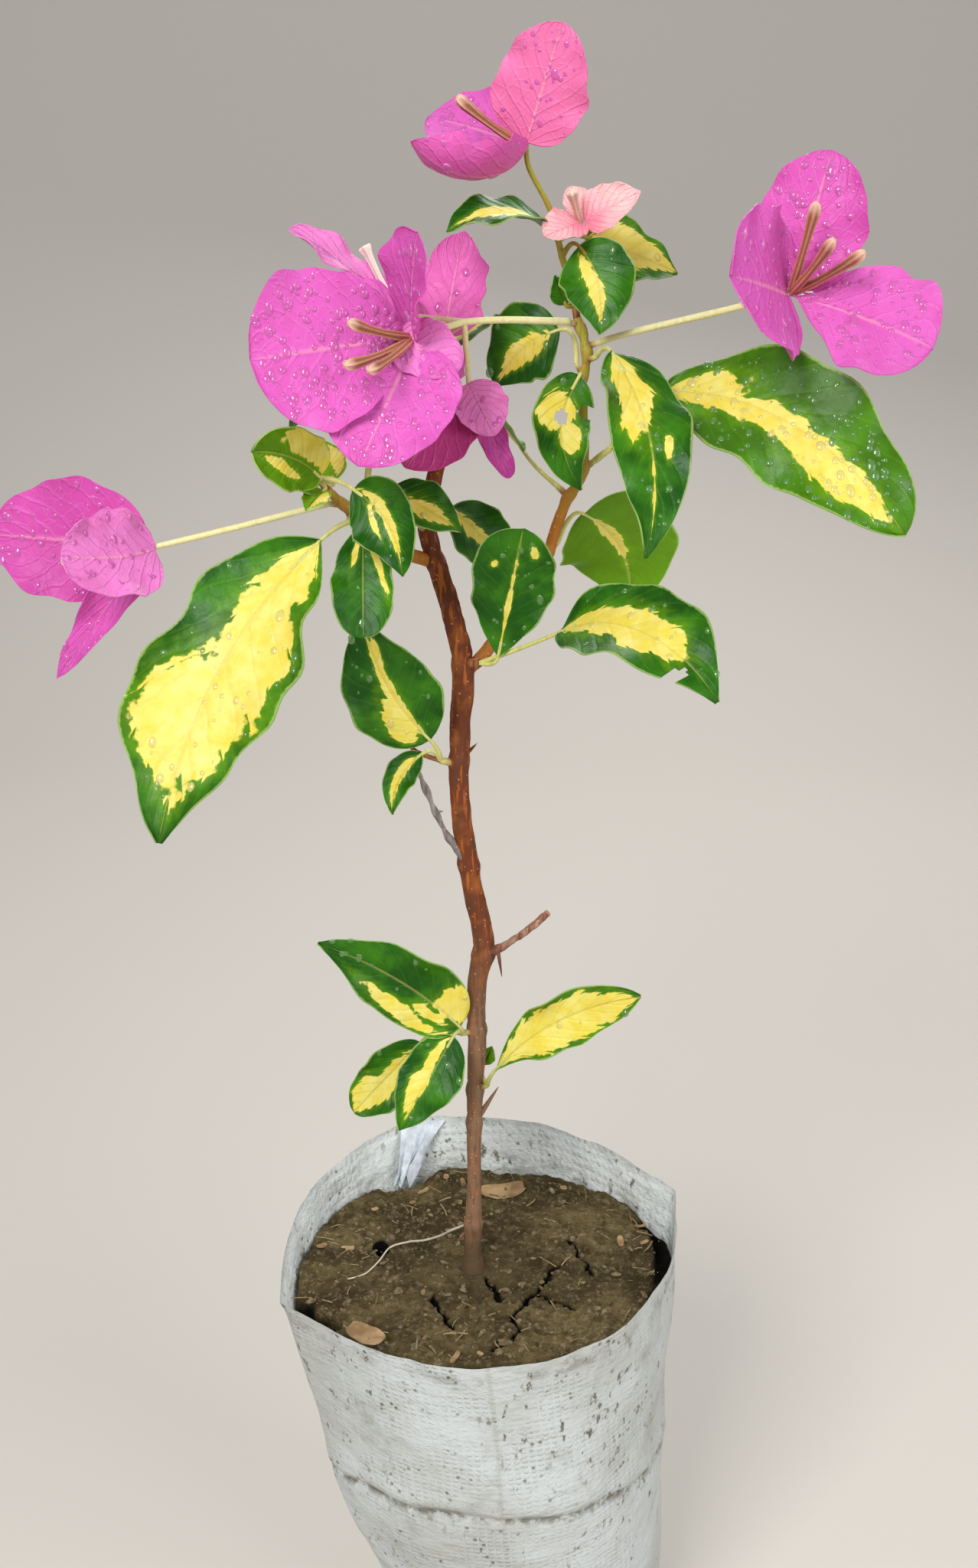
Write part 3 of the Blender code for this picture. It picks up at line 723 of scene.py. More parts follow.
@dataclass(frozen=True)
class BagFinish:
    """White woven plastic sheet: faint tapes, long scuffs, soil specks and a dirty crease, with
    painted light on the inner wall.
    """

    name: str = "woven_bag"
    white: Colour = (0.57, 0.6, 0.59)
    shade: Colour = (0.4, 0.4, 0.35)
    # painted light: lighter colour of the inner wall, which stands in for the light that falls on
    # it
    painted_inner_light: Colour = (0.8, 0.84, 0.81)
    seam: float = 0.757
    dirt: Colour = (0.1, 0.08, 0.045)

    def build(self) -> Material:
        """Make the material.

        Returns:
            The sheet's material.
        """
        r = Recipe(self.name)
        where = r.place()
        around, up = r.uv("UVMap")
        height = r.node("ShaderNodeSeparateXYZ", inputs={0: where}, output=2)
        bend = (r.noise(where, 12, 2) - 0.5) * 0.02
        warp = ((around + bend) * 150).math("FRACT") - 0.5
        weft = ((up - bend) * 170).math("FRACT") - 0.5
        worn = r.noise(where, 70).fade(0.35, 0.65)
        tape = (warp.ridge(0.5) * weft.ridge(0.5)).fade(0.1, 0.6) * worn
        cloud = r.noise(where, 22, 4)
        colour = r.mix(cloud.fade(0.35, 0.75) * 0.75, self.white, self.shade)
        # painted light: the inner wall is made lighter to stand in for the light on it
        colour = r.mix(r.attribute("inside") * 0.75, colour, self.painted_inner_light)
        colour = r.mix(tape * 0.12, colour, self.shade)
        colour = r.mix((around + bend * 0.1 - self.seam).ridge(0.0035) * 0.5, colour, self.shade)
        scuff = r.noise(r.place((1, 1, 0.6)), 300, 5, 0.65)
        patchy = r.noise(where, 26).fade(0.38, 0.6)
        marks = scuff.fade(0.585, 0.65) * patchy
        specks = 1 - r.cells(where, 300, "F1").fade(0.12, 0.24)
        specks *= r.noise(where, 70, 2).fade(0.48, 0.6)
        film = r.noise(where, 60, 5, 0.7).fade(0.52, 0.75) * 0.35
        stain = r.attribute("crease") * r.noise(where, 150, 4, 0.7).fade(0.4, 0.56)
        near_soil = r.attribute("inner") * r.noise(where, 110, 5, 0.7).fade(0.42, 0.6)
        rimmed = r.attribute("rim") * r.noise(where, 90, 4, 0.7).fade(0.45, 0.65) * 0.5
        soiled = marks * 0.85 + specks * 0.7 + film + stain * 0.9 + near_soil * 0.5 + rimmed
        colour = r.mix(soiled.math("MINIMUM", 0.92), colour, self.dirt)
        # darker towards the bottom of the sheet, over its lowest 28 mm
        colour = r.mix((1 - (height + bend).fade(0.0, 0.028)) * 0.4, colour, self.dirt)
        wrinkle = r.noise(r.place((1, 1, 1.8)), 90, 5, 0.6)
        relief = tape * 0.25 + r.noise(where, 210, 4) * 0.9 + wrinkle * 2.2
        relief -= r.attribute("crease") * 0.8
        return r.finish(Base_Color=colour, Roughness=r.noise(where, 120, 2) * 0.25 + 0.42,
                        Normal=r.bump(relief, 0.0009, 0.85), Specular_IOR_Level=0.25)


@dataclass(frozen=True)
class SoilFinish:
    """Dry grey-brown soil, with painted shade in its cracks, hole, sunken edges and the low places
    between its clods.
    """

    name: str = "dry_soil"
    dry: Colour = (0.24, 0.18, 0.075)
    # damp soil colour; also used for the painted shade between clods and in the cracks
    damp: Colour = (0.07, 0.047, 0.017)
    grit: Colour = (0.4, 0.32, 0.18)

    def build(self) -> Material:
        """Make the material.

        Returns:
            The soil's material.
        """
        r = Recipe(self.name)
        where = r.place()
        colour = r.mix(r.noise(where, 50, 5, 0.65).fade(0.35, 0.65), self.damp, self.dry)
        # painted shade: the damp colour darkens the low places between clods
        colour = r.mix(r.attribute("grit").fade(0.5, -1.0) * 0.75, colour, self.damp)
        colour = r.mix(r.noise(where, 420, 4, 0.7).fade(0.5, 0.7) * 0.7, colour, self.grit)
        colour = r.mix(r.noise(where, 230, 5, 0.75).fade(0.5, 0.38) * 0.7, colour, self.damp)
        flakes = r.cells(where, 420, "F1")
        pale = (1 - flakes.fade(0.1, 0.3)) * r.noise(where, 60).fade(0.4, 0.6)
        colour = r.mix(pale * 0.6, colour, self.grit)
        colour = r.mix(r.attribute("damp") * 0.65, colour, self.damp)
        # painted shade: near black in the cracks, the hole's mouth and the sunken edges by the wall
        colour = r.mix(r.attribute("hollow").fade(0.08, 0.6), colour, darker(self.damp, 0.06))
        relief = r.noise(where, 260, 6, 0.75) * 1.5 + r.noise(where, 1200, 3, 0.7) * 0.4
        relief -= flakes * 0.4
        return r.finish(Base_Color=colour, Roughness=0.95, Normal=r.bump(relief, 0.0028, 1.0),
                        Specular_IOR_Level=0.15)


@dataclass(frozen=True)
class PlainFinish:
    """A mottled surface of one colour."""

    name: str
    colour: Colour
    second: Colour
    scale: float = 200.0
    rough: float = 0.6
    relief: float = 0.0002

    def build(self) -> Material:
        """Make the material.

        Returns:
            The surface's material.
        """
        r = Recipe(self.name)
        where = r.place()
        mottle = r.noise(where, self.scale, 4)
        return r.finish(Base_Color=r.mix(mottle.fade(0.35, 0.65), self.colour, self.second),
                        Roughness=mottle * 0.2 + self.rough - 0.1,
                        Normal=r.bump(mottle, self.relief, 0.7))


# ---- what the plant is made of

class Kind(Enum):
    """What a blade is."""

    LEAF = "leaf"
    BRACT = "bract"


@dataclass(frozen=True)
class Lobe:
    """A cream area or a hole in a blade: an ellipse, with its half sizes and its slant."""

    along: float
    across: float
    length: float
    width: float
    slant: float = 0.0

    def depth(self, s: float, t: float) -> float:
        """How far inside it a place is.

        Args:
            s: share along the blade.
            t: share across it.

        Returns:
            1 in its middle, 0 on its edge, less outside.
        """
        ds = (s - self.along) / self.length
        dt = (t - self.across - self.slant * (s - self.along)) / self.width
        return 1 - math.hypot(ds, dt)


@dataclass(frozen=True)
class Blade:
    """A leaf or a bract, by its stalk's step, its chord and its bends."""

    kind: Kind
    reach: Step
    chord: Step
    width: float
    face: Pair
    arch: float
    cup: float
    swerve: float = 0.0
    lobes: tuple[Lobe, ...] = ()
    tone: float = 0.0
    drops: int = 0
    powers: Pair | None = None
    wave: float = 0.045
    warm: float = 0.0
    scallop: float = 0.06
    holes: tuple[Lobe, ...] = ()
    phase: float | None = None

    thickness = {Kind.LEAF: 0.35, Kind.BRACT: 0.28}
    outlines = {Kind.LEAF: (0.62, 0.95), Kind.BRACT: (0.5, 0.62)}
    counts = {Kind.LEAF: (18, 44), Kind.BRACT: (22, 34)}
    droop_gather = 0.12
    ripples = 9.0
    rib_depth = 0.35
    rib_width = 0.09
    quilt = 0.16
    quilts = 8.0
    quilt_slant = 2.2
    row_gather = 0.35
    margin_gather = 0.85
    least_half_width = 0.25
    bake_cell = (0.46, 0.94)
    bake_centres = (0.25, 0.75)
    rim_push = 1.03

    def outline(self, s: float) -> float:
        """Outline of the blade.

        Args:
            s: share of the length.

        Returns:
            Share of the full half width there.
        """
        a, b = self.powers or self.outlines[self.kind]
        widest = a / (a + b)
        return (s / widest) ** a * ((1 - s) / (1 - widest)) ** b if 0 < s < 1 else 0.0

    def row(self, base: Vector, s: float) -> tuple[Vector, Vector, Vector]:
        """Frame of a cross-section, on a midrib that bends evenly.

        Args:
            base: where the blade starts.
            s: share of the length.

        Returns:
            Centre, side and upward vector.
        """
        length = self.chord[0]
        chord = aim(self.chord[1], self.chord[2])
        normal = aim(*self.face)
        normal = (normal - chord * normal.dot(chord)).normalized()
        side = chord.cross(normal)
        arch, swerve = math.radians(self.arch), math.radians(self.swerve)
        forward = s - self.droop_gather * math.sin(2 * math.pi * s) * (arch / math.pi) ** 2
        bowed = chord * forward + normal * bulge(s, arch) + side * bulge(s, swerve)
        centre = base + bowed * length
        droop, turn = arch * (0.5 - s), swerve * (0.5 - s)
        along = chord * math.cos(droop) + normal * math.sin(droop)
        up = normal * math.cos(droop) - chord * math.sin(droop)
        return centre, side * math.cos(turn) - along * math.sin(turn), up

    def point(self, base: Vector, s: float, t: float, phase: float) -> tuple[Vector, Vector]:
        """Place and upward vector at shares (s, t) along and across.

        Args:
            base: where the blade starts.
            s: share of the length.
            t: share of the half width, from -1 to 1.
            phase: of the wave along the margins.

        Returns:
            The point of the sheet's middle layer, and the way it faces.
        """
        centre, side, up = self.row(base, s)
        lean = 1.0 if t > 0 else -1.0
        body = math.sin(math.pi * s)
        curl = 0.6 * math.sin(12 * s + 3 * phase + 2 * lean) + 0.4 * math.sin(27 * s + phase + lean)
        half = self.width / 2 * self.outline(s) * (1 + self.scallop * curl * body)
        half = max(half, self.least_half_width)
        cup = max(math.radians(self.cup), 0.01)
        turn = cup * t
        out = math.sin(turn) / cup * half
        rise = (1 - math.cos(turn)) / cup * half
        edge = abs(t) ** 2.5
        swell = self.wave * self.chord[0] * body * math.sin(self.ripples * s + phase + lean) * edge
        second = math.sin(2.3 * self.ripples * s + 3 * phase + 2 * lean)
        swell += 0.4 * self.wave * self.chord[0] * second * edge
        groove = -self.rib_depth * bell(t / self.rib_width) * body
        pads = math.sin(2 * math.pi * (self.quilts * s - self.quilt_slant * abs(t)))
        quilting = self.quilt * pads * body * (1 - edge)
        quilting *= min(half / 7, 1.0) * min(abs(t) * 4, 1.0)
        away = up * math.cos(turn) - side * math.sin(turn)
        return centre + side * out + up * (rise + swell + groove + quilting), away

    def cream(self, s: float, t: float) -> float:
        """How deep in a cream area a place is, from -1."""
        return max([lobe.depth(s, t) for lobe in self.lobes] + [-1.0])

    def make(self, base: Vector, phase: float) -> Thing:
        """Make the solid, with its coordinates, cream depth and tone stored on it.

        Args:
            base: where the blade starts.
            phase: of the wave along its margins.

        Returns:
            The blade.
        """
        across, along = self.counts[self.kind]
        shares = []

        def place(u: float, v: float) -> Vector:
            """Point of the sheet.

            Args:
                u: share across the grid.
                v: share along it.

            Returns:
                The point.
            """
            s = 0.5 - 0.5 * math.cos(math.pi * v)
            s = lerp(v, s, self.row_gather)
            t = 2 * u - 1
            t = math.copysign(abs(t) ** self.margin_gather, t)
            shares.append((s, t))
            return self.point(base, s, t, phase)[0]

        made = shaped_grid("blade", across, along, place)
        if self.holes:
            self.eat(made, shares)
        count = len(made.data.vertices)
        apply_modifier(made, "SOLIDIFY", thickness=self.thickness[self.kind] * MM, offset=0.0)
        self.label(made, shares, count)
        return made

    def eat(self, made: Thing, shares: list[Pair]) -> None:
        """Delete the faces that an insect has eaten, with a ragged edge.

        Args:
            made: the sheet.
            shares: (along, across) of its points; those that go are dropped.
        """
        select_only(made)
        bpy.ops.object.mode_set(mode="EDIT")
        bpy.ops.mesh.select_all(action="DESELECT")
        bpy.ops.object.mode_set(mode="OBJECT")
        for face in made.data.polygons:
            s = sum(shares[i][0] for i in face.vertices) / len(face.vertices)
            t = sum(shares[i][1] for i in face.vertices) / len(face.vertices)
            ragged = 0.25 * wobble(Vector((s * 60, t * 12, 0)), 3.0)
            face.select = max(hole.depth(s, t) for hole in self.holes) + ragged > 0
        gone = {i for face in made.data.polygons if face.select for i in face.vertices}
        kept = {i for face in made.data.polygons if not face.select for i in face.vertices}
        bpy.ops.object.mode_set(mode="EDIT")
        bpy.ops.mesh.delete(type="FACE")
        bpy.ops.object.mode_set(mode="OBJECT")
        shares[:] = [share for i, share in enumerate(shares) if i not in gone - kept]

    def label(self, made: Thing, shares: list[Pair], count: int) -> None:
        """Keep each point's place on the blade, its cream depth and the blade's tone.

        Args:
            made: the thickened blade.
            shares: (along, across) of the sheet's points.
            count: how many points the sheet had before it got its wall.
        """
        mesh = made.data
        blade = mesh.uv_layers.new(name="blade")
        baked = mesh.uv_layers["UVMap"]
        baked.name = "OFBake"
        total = len(mesh.vertices)
        store(made, cream=[self.cream(*shares[i % count]) for i in range(total)],
              tone=[self.tone] * total, warm=[self.warm] * total)
        for face in mesh.polygons:
            under = all(i >= count for i in face.vertices)
            rim = not under and any(i >= count for i in face.vertices)
            for loop in face.loop_indices:
                index = mesh.loops[loop].vertex_index
                s, t = shares[index % count]
                blade.data[loop].uv = (t / 2 + 0.5, s)
                push = self.rim_push if rim and index >= count else 1.0
                baked.data[loop].uv = (self.bake_centres[under] + t * push / 2 * self.bake_cell[0],
                                       0.5 + (s - 0.5) * push * self.bake_cell[1])


def bulge(s: float, bend: float) -> float:
    """How far an evenly bent midrib leaves its chord.

    Args:
        s: share of the length.
        bend: whole bend, in radians.

    Returns:
        The distance, as a share of the length.
    """
    if abs(bend) < 1e-6:
        return 0.0
    return (math.cos(bend * (0.5 - s)) - math.cos(bend / 2)) / (2 * math.sin(bend / 2))


@dataclass(frozen=True)
class Floret:
    """A slim flower: a furrowed tube with a swollen foot and a flared mouth."""

    reach: Step
    axis: Step
    white: float = 0.0
    open: bool = False

    bud = ((0.0, 0.75), (0.12, 1.05), (0.3, 1.15), (0.5, 1.0), (0.7, 1.15), (0.86, 1.5),
           (0.94, 1.45), (0.985, 1.0), (1.0, 0.3))
    flared = ((0.0, 0.75), (0.12, 1.05), (0.3, 1.15), (0.5, 0.95), (0.7, 1.0), (0.86, 1.2),
              (0.94, 1.7), (0.97, 1.8), (0.985, 1.2), (0.96, 0.5))
    sides = 20
    furrows = 5
    furrow_depth = 0.22
    slim = 0.8

    def make(self, start: Vector, origin: Vector) -> Thing:
        """Make the flower.

        Args:
            start: where its foot sits.
            origin: where its steps start.

        Returns:
            The closed tube.
        """
        tip = step_from(step_from(origin, self.reach), self.axis)
        length = (tip - start).length
        sag = Vector((0, 0, -0.03 * length))
        profile = self.flared if self.open else self.bud
        route = [start.lerp(tip, f) + sag * math.sin(math.pi * f) for f, _ in profile]
        dense = through([(*p, r) for p, (_, r) in zip(route, profile)], 4)
        count = len(dense)
        centre = [Vector(d[:3]) for d in dense]
        furrow = []

        def place(u: float, v: float) -> Vector:
            """Point of the tube.

            Args:
                u: turn round it.
                v: share of its profile.

            Returns:
                The point.
            """
            i = round(v * (count - 1))
            furrow.append(0.5 + 0.5 * math.cos(self.furrows * 2 * math.pi * u))
            along = (tip - start).normalized()
            side = along.orthogonal().normalized()
            over = along.cross(side)
            turn = 2 * math.pi * u
            dent = self.furrow_depth * math.cos(self.furrows * turn)
            radius = self.slim * dense[i][3] * (1 + dent)
            return centre[i] + (side * math.cos(turn) + over * math.sin(turn)) * radius

        made = shaped_grid("floret", self.sides, count - 1, place)
        along = [(vertex.co / MM - start).dot(tip - start) / length ** 2
                 for vertex in made.data.vertices]
        store(made, furrow=furrow, along=along, white=[self.white] * len(along))
        close_up(made)
        return made


@dataclass(frozen=True)
class Twig:
    """A twig by its steps, and what it bears at its end."""

    steps: tuple[Step, ...]
    radius: float
    bears: tuple = ()
    woody: float = 0.0


@dataclass(frozen=True)
class Spray:
    """One mass: where it leaves its limb, its stub, and what the stub bears."""

    name: str
    limb: str
    height: float
    stub: Step
    radius: float
    bears: tuple
    stalk: str = "stalk"
    woody: float = 0.25


def leaf(*shape: float | Step | Pair, **look: object) -> Blade:
    """A leaf, by a blade's values after its kind."""
    return Blade(Kind.LEAF, *shape, **look)


def bract(*shape: float | Step | Pair, **look: object) -> Blade:
    """A bract, by a blade's values after its kind."""
    return Blade(Kind.BRACT, *shape, **{"tone": 0.5, **look})


def seeded_leaves(seed: int, count: int, heading: float, spread: float, pitch: float,
                  longest: float) -> tuple[Blade, ...]:
    """Leaves that fan out evenly about a heading, each a little different.

    Args:
        seed: of the small differences.
        count: of leaves.
        heading: middle of the fan.
        spread: of the fan.
        pitch: above the horizontal.
        longest: length of the longest leaf.

    Returns:
        The leaves.
    """
    dice = random.Random(seed)
    leaves = []
    for i in range(count):
        turn = heading + spread * ((i + 0.5) / count - 0.5) + dice.uniform(-8, 8)
        rise = pitch + dice.uniform(-14, 14)
        length = longest * dice.uniform(0.72, 1.0)
        reach = (dice.uniform(5, 9), turn, rise + 25)
        chord = (length, turn + dice.uniform(-10, 10), rise)
        arch = dice.uniform(20, 45)
        lobes = (Lobe(0.42, 0.05, 0.4, 0.35), Lobe(0.6, -0.2, 0.2, 0.3))
        leaves.append(leaf(reach, chord, length * 0.46, (turn, 75), arch, 20, lobes=lobes, drops=5))
    return tuple(leaves)


SPRAYS = (
    Spray("low_left_spray", "trunk", 232, (2.5, -146, 8), 1.1, (
        leaf((8, -134, 29), (51, -167, 38), 23, (FRONT, 8), 12, 15, 27, drops=12,
             powers=(0.55, 1.0), scallop=0.02,
             lobes=(Lobe(0.4, -0.66, 0.32, 0.22, 0.25), Lobe(0.13, 0.45, 0.11, 0.65, -0.6),
                    Lobe(0.2, -0.3, 0.12, 0.15))),
        leaf((17, -173, -10), (29, -168, -46), 16, (FRONT, 20), 15, 20, drops=4,
             powers=(0.55, 0.55), lobes=(Lobe(0.5, -0.1, 0.48, 0.4), Lobe(0.75, 0.1, 0.25, 0.6))),
        leaf((10, -134, 11), (31, -145, -52), 18, (-95, 15), 20, 20, drops=6,
             lobes=(Lobe(0.42, 0.18, 0.44, 0.2, -0.3), Lobe(0.6, 0.3, 0.2, 0.25))))),
    Spray("low_right_spray", "trunk", 212, (2.5, -30, 35), 1.0, (
        leaf((13, -41, 51), (50, -11, 34), 17, (-92, 12), 12, 25, -42, drops=4, powers=(1.15, 0.85),
             lobes=(Lobe(0.45, 0.02, 0.6, 0.85, 0.1),)),
        leaf((8, 50, 62), (6, 30, 60), 5, (FRONT, 10), 10, 20, tone=0.5))),
    Spray("mid_left_spray", "trunk", 315, (3, -150, 20), 1.2, (
        leaf((14, -137, 42), (40, -155, 62), 25, (-95, 10), 10, 15, -30, drops=14,
             lobes=(Lobe(0.45, 0.02, 0.5, 0.11), Lobe(0.25, -0.3, 0.2, 0.3, 0.8),
                    Lobe(0.75, 0.15, 0.15, 0.15, 1.0))),
        leaf((14, -140, 24), (18, -137, -54), 9, (-100, 20), 20, 30, 60,
             lobes=(Lobe(0.45, 0.1, 0.42, 0.3),)),
        Twig(((13, -161, 22), (4, -153, 55)), 0.75, (), 0.9))),
    Spray("knot_spray", "trunk", 344, (3, -40, 12), 1.5, (
        leaf((31, -29, 23), (51, -43, -9), 28, (-100, 50), 70, 25, -45, drops=14, scallop=0.07,
             phase=2.4, lobes=(Lobe(0.33, -0.05, 0.36, 0.38, -0.1), Lobe(0.55, 0.02, 0.2, 0.46)),
             holes=(Lobe(0.8, 0.7, 0.03, 0.62, -0.4),)),
        leaf((12, -34, 18), (37, -53, 74), 22, (-95, 0), -12, 15, drops=16, powers=(0.9, 0.5),
             scallop=0.08,
             lobes=(Lobe(0.36, 0.0, 0.45, 0.08), Lobe(0.84, 0.45, 0.05, 0.12),
                    Lobe(0.7, -0.5, 0.03, 0.1)))), woody=1.0),
    Spray("right_low_spray", "right_shoot", 371.5, (2.5, 31, 39), 1.0, (
        leaf((15, 31, 39), (36, 45, -56), 34, (95, 25), 30, 20, 60, tone=0.6, scallop=0.08,
             lobes=(Lobe(0.3, 0.0, 0.3, 0.12),)),)),
    Spray("right_back_spray", "right_shoot", 387, (2.5, 152, 39), 1.0, (
        leaf((17, 152, 39), (17, 132, 31), 13, (16, 40), 15, 20, tone=0.5,
             lobes=(Lobe(0.5, 0.1, 0.4, 0.4),)),)),
    Spray("right_far_spray", "right_shoot", 395.5, (2.5, -28, 38), 0.95, (
        Twig(((10, -28, 38),), 0.95, (
            leaf((21, -33, 46), (71, -35, -24), 31, (-110, 36), 50, 15, -40, drops=170, tone=0.2,
                 scallop=0.09, powers=(0.62, 0.66),
                 lobes=(Lobe(0.5, 0.1, 0.47, 0.24, 0.15), Lobe(0.15, -0.1, 0.15, 0.46),
                        Lobe(0.75, 0.24, 0.2, 0.36))),)),)),
    Spray("right_thin_spray", "right_shoot", 419.5, (2.2, 130, 49), 0.8, (
        leaf((14, 130, 49), (22, 166, -41), 22, (FRONT, 35), 20, 15, 50, drops=4,
             lobes=(Lobe(0.5, -0.05, 0.45, 0.3),)),)),
    Spray("right_inner_spray", "right_shoot", 418, (2.0, -100, 6), 0.9, (
        leaf((6, -100, 18), (28, -73, -84), 15, (FRONT, 10), 15, 20, 75, drops=5,
             lobes=(Lobe(0.3, 0.25, 0.15, 0.6), Lobe(0.55, -0.3, 0.15, 0.4)), scallop=0.08,
             powers=(0.5, 0.9),
             holes=(Lobe(0.36, 0.05, 0.06, 0.26), Lobe(0.27, -0.85, 0.08, 0.4))),)),
    Spray("right_leaf_spray", "right_shoot", 423, (2.2, -52, 15), 0.9, (
        leaf((11, -59, 14), (57, -80, -49), 20, (-80, 14), 22, 20, -40, drops=22, scallop=0.07,
             lobes=(Lobe(0.22, 0.1, 0.22, 0.5, 0.6), Lobe(0.68, 0.05, 0.22, 0.07),
                    Lobe(0.52, -0.45, 0.05, 0.12))),)),
    Spray("right_bloom_spray", "right_shoot", 426.5, (2.2, -26, 20), 0.9, (
        Twig(((12, -26, 18), (25, -19, 14), (15, -20, 15)), 0.9, (
            bract((1.2, 0, 54), (32, 28, 74), 26, (-100, 10), 20, 20, drops=80, tone=0.35),
            bract((1.2, -125, -13), (32, -124, 10), 36, (-8, 12), 15, 25, drops=30, tone=0.55,
                  powers=(0.42, 0.55)),
            bract((1.2, -53, -20), (35, -23, -18), 34, (FRONT, 45), 20, 15, drops=75, tone=0.6,
                  powers=(1.15, 0.55)),
            Floret((2, -113, 40), (22, -72, 61)),
            Floret((2, -88, 27), (20, -68, 36)),
            Floret((2, -57, 37), (19, -36, 27)))),), "pedicel"),
    Spray("centre_bloom_spray", "right_shoot", 431.5, (2.2, -150, 11), 0.9, (
        Twig(((5, -150, 11), (15, -160, 3), (11, -159, -1)), 0.95, (
            Twig(((17, -134, -9),), 0.8, (
                bract((1.2, -155, -6), (38, -163, -6), 38, (-82, 15), 20, 20, drops=150, tone=0.5,
                      powers=(0.8, 0.55)),
                bract((1.2, -53, -32), (34, -128, -52), 33, (FRONT, 35), 15, 15, drops=90,
                      tone=0.55),
                bract((1, 180, -70), (25.5, -74, 75), 24, (207, 5), 15, 20, -8, drops=24, tone=0.35,
                      powers=(0.6, 0.4)),
                bract((4.5, -172, -10), (17, -12, -18), 15, (FRONT, 22), 30, 35, tone=0.85),
                Floret((4, -124, 9), (17, -136, 13)),
                Floret((4, -120, 2), (21, -129, -13)),
                Floret((4, -116, -5), (20, -113, -15)))),
            Twig(((17, 160, 4),), 0.8, (
                bract((1.2, 152, 44), (32, -164, 37), 13, (-60, 60), 20, 40, tone=0.95),
                bract((1.2, -124, 30), (20, -146, 5), 16, (FRONT, 20), 15, 20, drops=6, tone=0.6),
                bract((1.2, 100, 30), (18, 104, 0), 14, (FRONT, 70), 20, 20, tone=0.4),
                Floret((4, 118, 40), (15.5, -168, 63), 0.9, True))),
            Twig(((14, 113, -19),), 0.8, (
                bract((1.2, 91, 2), (27, 64, 66), 19, (-100, 20), 15, 20, tone=0.6, warm=0.14,
                      drops=3, scallop=0.18, powers=(0.42, 0.72)),
                bract((1.2, -78, 7), (24, -114, -30), 18, (-20, 40), 15, 60, tone=0.75),
                bract((1.2, 129, -4), (20, 113, 30), 22, (FRONT, 50), 15, 20, tone=0.3))),
            Twig(((19, 84, -58),), 0.8, (
                bract((1.2, -89, 30), (17, -60, -42), 14, (FRONT, 30), 15, 20, tone=1.0, warm=0.1,
                      drops=3),
                bract((1.2, -28, -77), (24, -29, -61), 8, (FRONT, 20), 20, 50, tone=0.3,
                      scallop=0.12, powers=(0.4, 0.45)),
                bract((1.2, -162, -63), (26, -143, -43), 22, (FRONT, 30), 15, 20, tone=0.1,
                      warm=0.15))))),), "pedicel"),
    Spray("top_spray", "right_shoot", 433, (2.5, 180, 77), 1.0, (
        leaf((5, -150, 45), (8, -135, 60), 6, (FRONT, 10), 10, 20),
        Twig(((9, 180, 77), (6, 180, 71)), 0.95, (
            leaf((7, -53, 23), (22, -59, -65), 19, (-100, 20), 25, 25, -55, drops=8,
                 lobes=(Lobe(0.5, 0.12, 0.4, 0.22, -0.2),)),
            Twig(((4, 180, 76),), 0.9, (
                leaf((9, 42, 5), (28, 22, -19), 17, (FRONT, 35), 20, 20, drops=3,
                     lobes=(Lobe(0.5, -0.1, 0.46, 0.68),)),
                Twig(((2.5, 180, 76),), 0.9, (
                    leaf((3, -156, 16), (26, -157, -2), 17, (-75, 70), 70, 25, drops=3,
                         lobes=(Lobe(0.42, 0.0, 0.42, 0.35),)),
                    Twig(((7, -30, 16),), 0.7, (
                        bract((1.2, -30, 0), (15, -12, 28), 12.5, (FRONT, 30), 20, 40, tone=1.0,
                              warm=0.9, powers=(0.5, 0.9)),
                        bract((1.2, -92, -12), (12, -140, -14), 11, (FRONT, 45), 20, 30, tone=1.0,
                              warm=0.75),
                        bract((1.2, 63, 28), (10, 114, 50), 7, (FRONT, 20), 10, 30, tone=1.0,
                              warm=1.0),
                        Floret((2, -100, 20), (8, -125, 58), 0.4))),
                    Twig(((6, -153, 69), (10, -169, 60), (5, 110, 69)), 0.7, (
                        bract((1.2, 180, 90), (27.5, -38, 68), 23, (-100, 10), 12, 15, drops=18,
                              tone=0.75, warm=0.26, powers=(0.42, 0.55)),
                        bract((1.2, 126, 17), (27, 152, 15), 24, (FRONT, 42), 15, 25, drops=30,
                              tone=0.6),
                        bract((1.2, -84, -8), (32, -148, 2), 22, (80, 60), -100, 60, drops=20,
                              tone=0.35, warm=0.12, scallop=0.16),
                        Floret((3, -152, 17), (19, -150, 31))))))))))), "shoot"),
    Spray("neck_left_spray", "trunk", 378, (2.5, -133, 45), 1.0, (
        leaf((19, -133, 45), (21, -9, -29), 14, (FRONT, 50), 25, 25, drops=4,
             lobes=(Lobe(0.55, 0.1, 0.3, 0.4),)),)),
    Spray("neck_right_spray", "trunk", 382, (2.2, 11, 25), 1.0, (
        leaf((7, 11, 25), (25, 13, -46), 16, (FRONT, 35), 15, 20, drops=4,
             lobes=(Lobe(0.45, 0.05, 0.4, 0.28),)),)),
    Spray("left_hanging_spray", "left_shoot", 386.5, (2.2, -100, -20), 1.0, (
        leaf((6, -55, -32), (28, -88, -60), 16, (FRONT, 30), 20, 25, drops=3, powers=(0.6, 0.45),
             lobes=(Lobe(0.16, 0.3, 0.22, 0.14, 0.3), Lobe(0.3, -0.5, 0.3, 0.12, -0.9))),
        leaf((13, -127, -22), (84, -137, -52), 38, (-100, 30), 22, 15, 32, drops=40,
             powers=(0.85, 0.95), scallop=0.2, phase=-0.543,
             lobes=(Lobe(0.45, -0.24, 0.42, 0.56, -0.1), Lobe(0.66, 0.1, 0.18, 0.72),
                    Lobe(0.14, -0.2, 0.16, 0.55))))),
    Spray("left_bloom_spray", "left_shoot", 389, (2.2, 180, 5), 0.9, (
        Twig(((26, -171, -10), (23, -177, -13)), 0.85, (
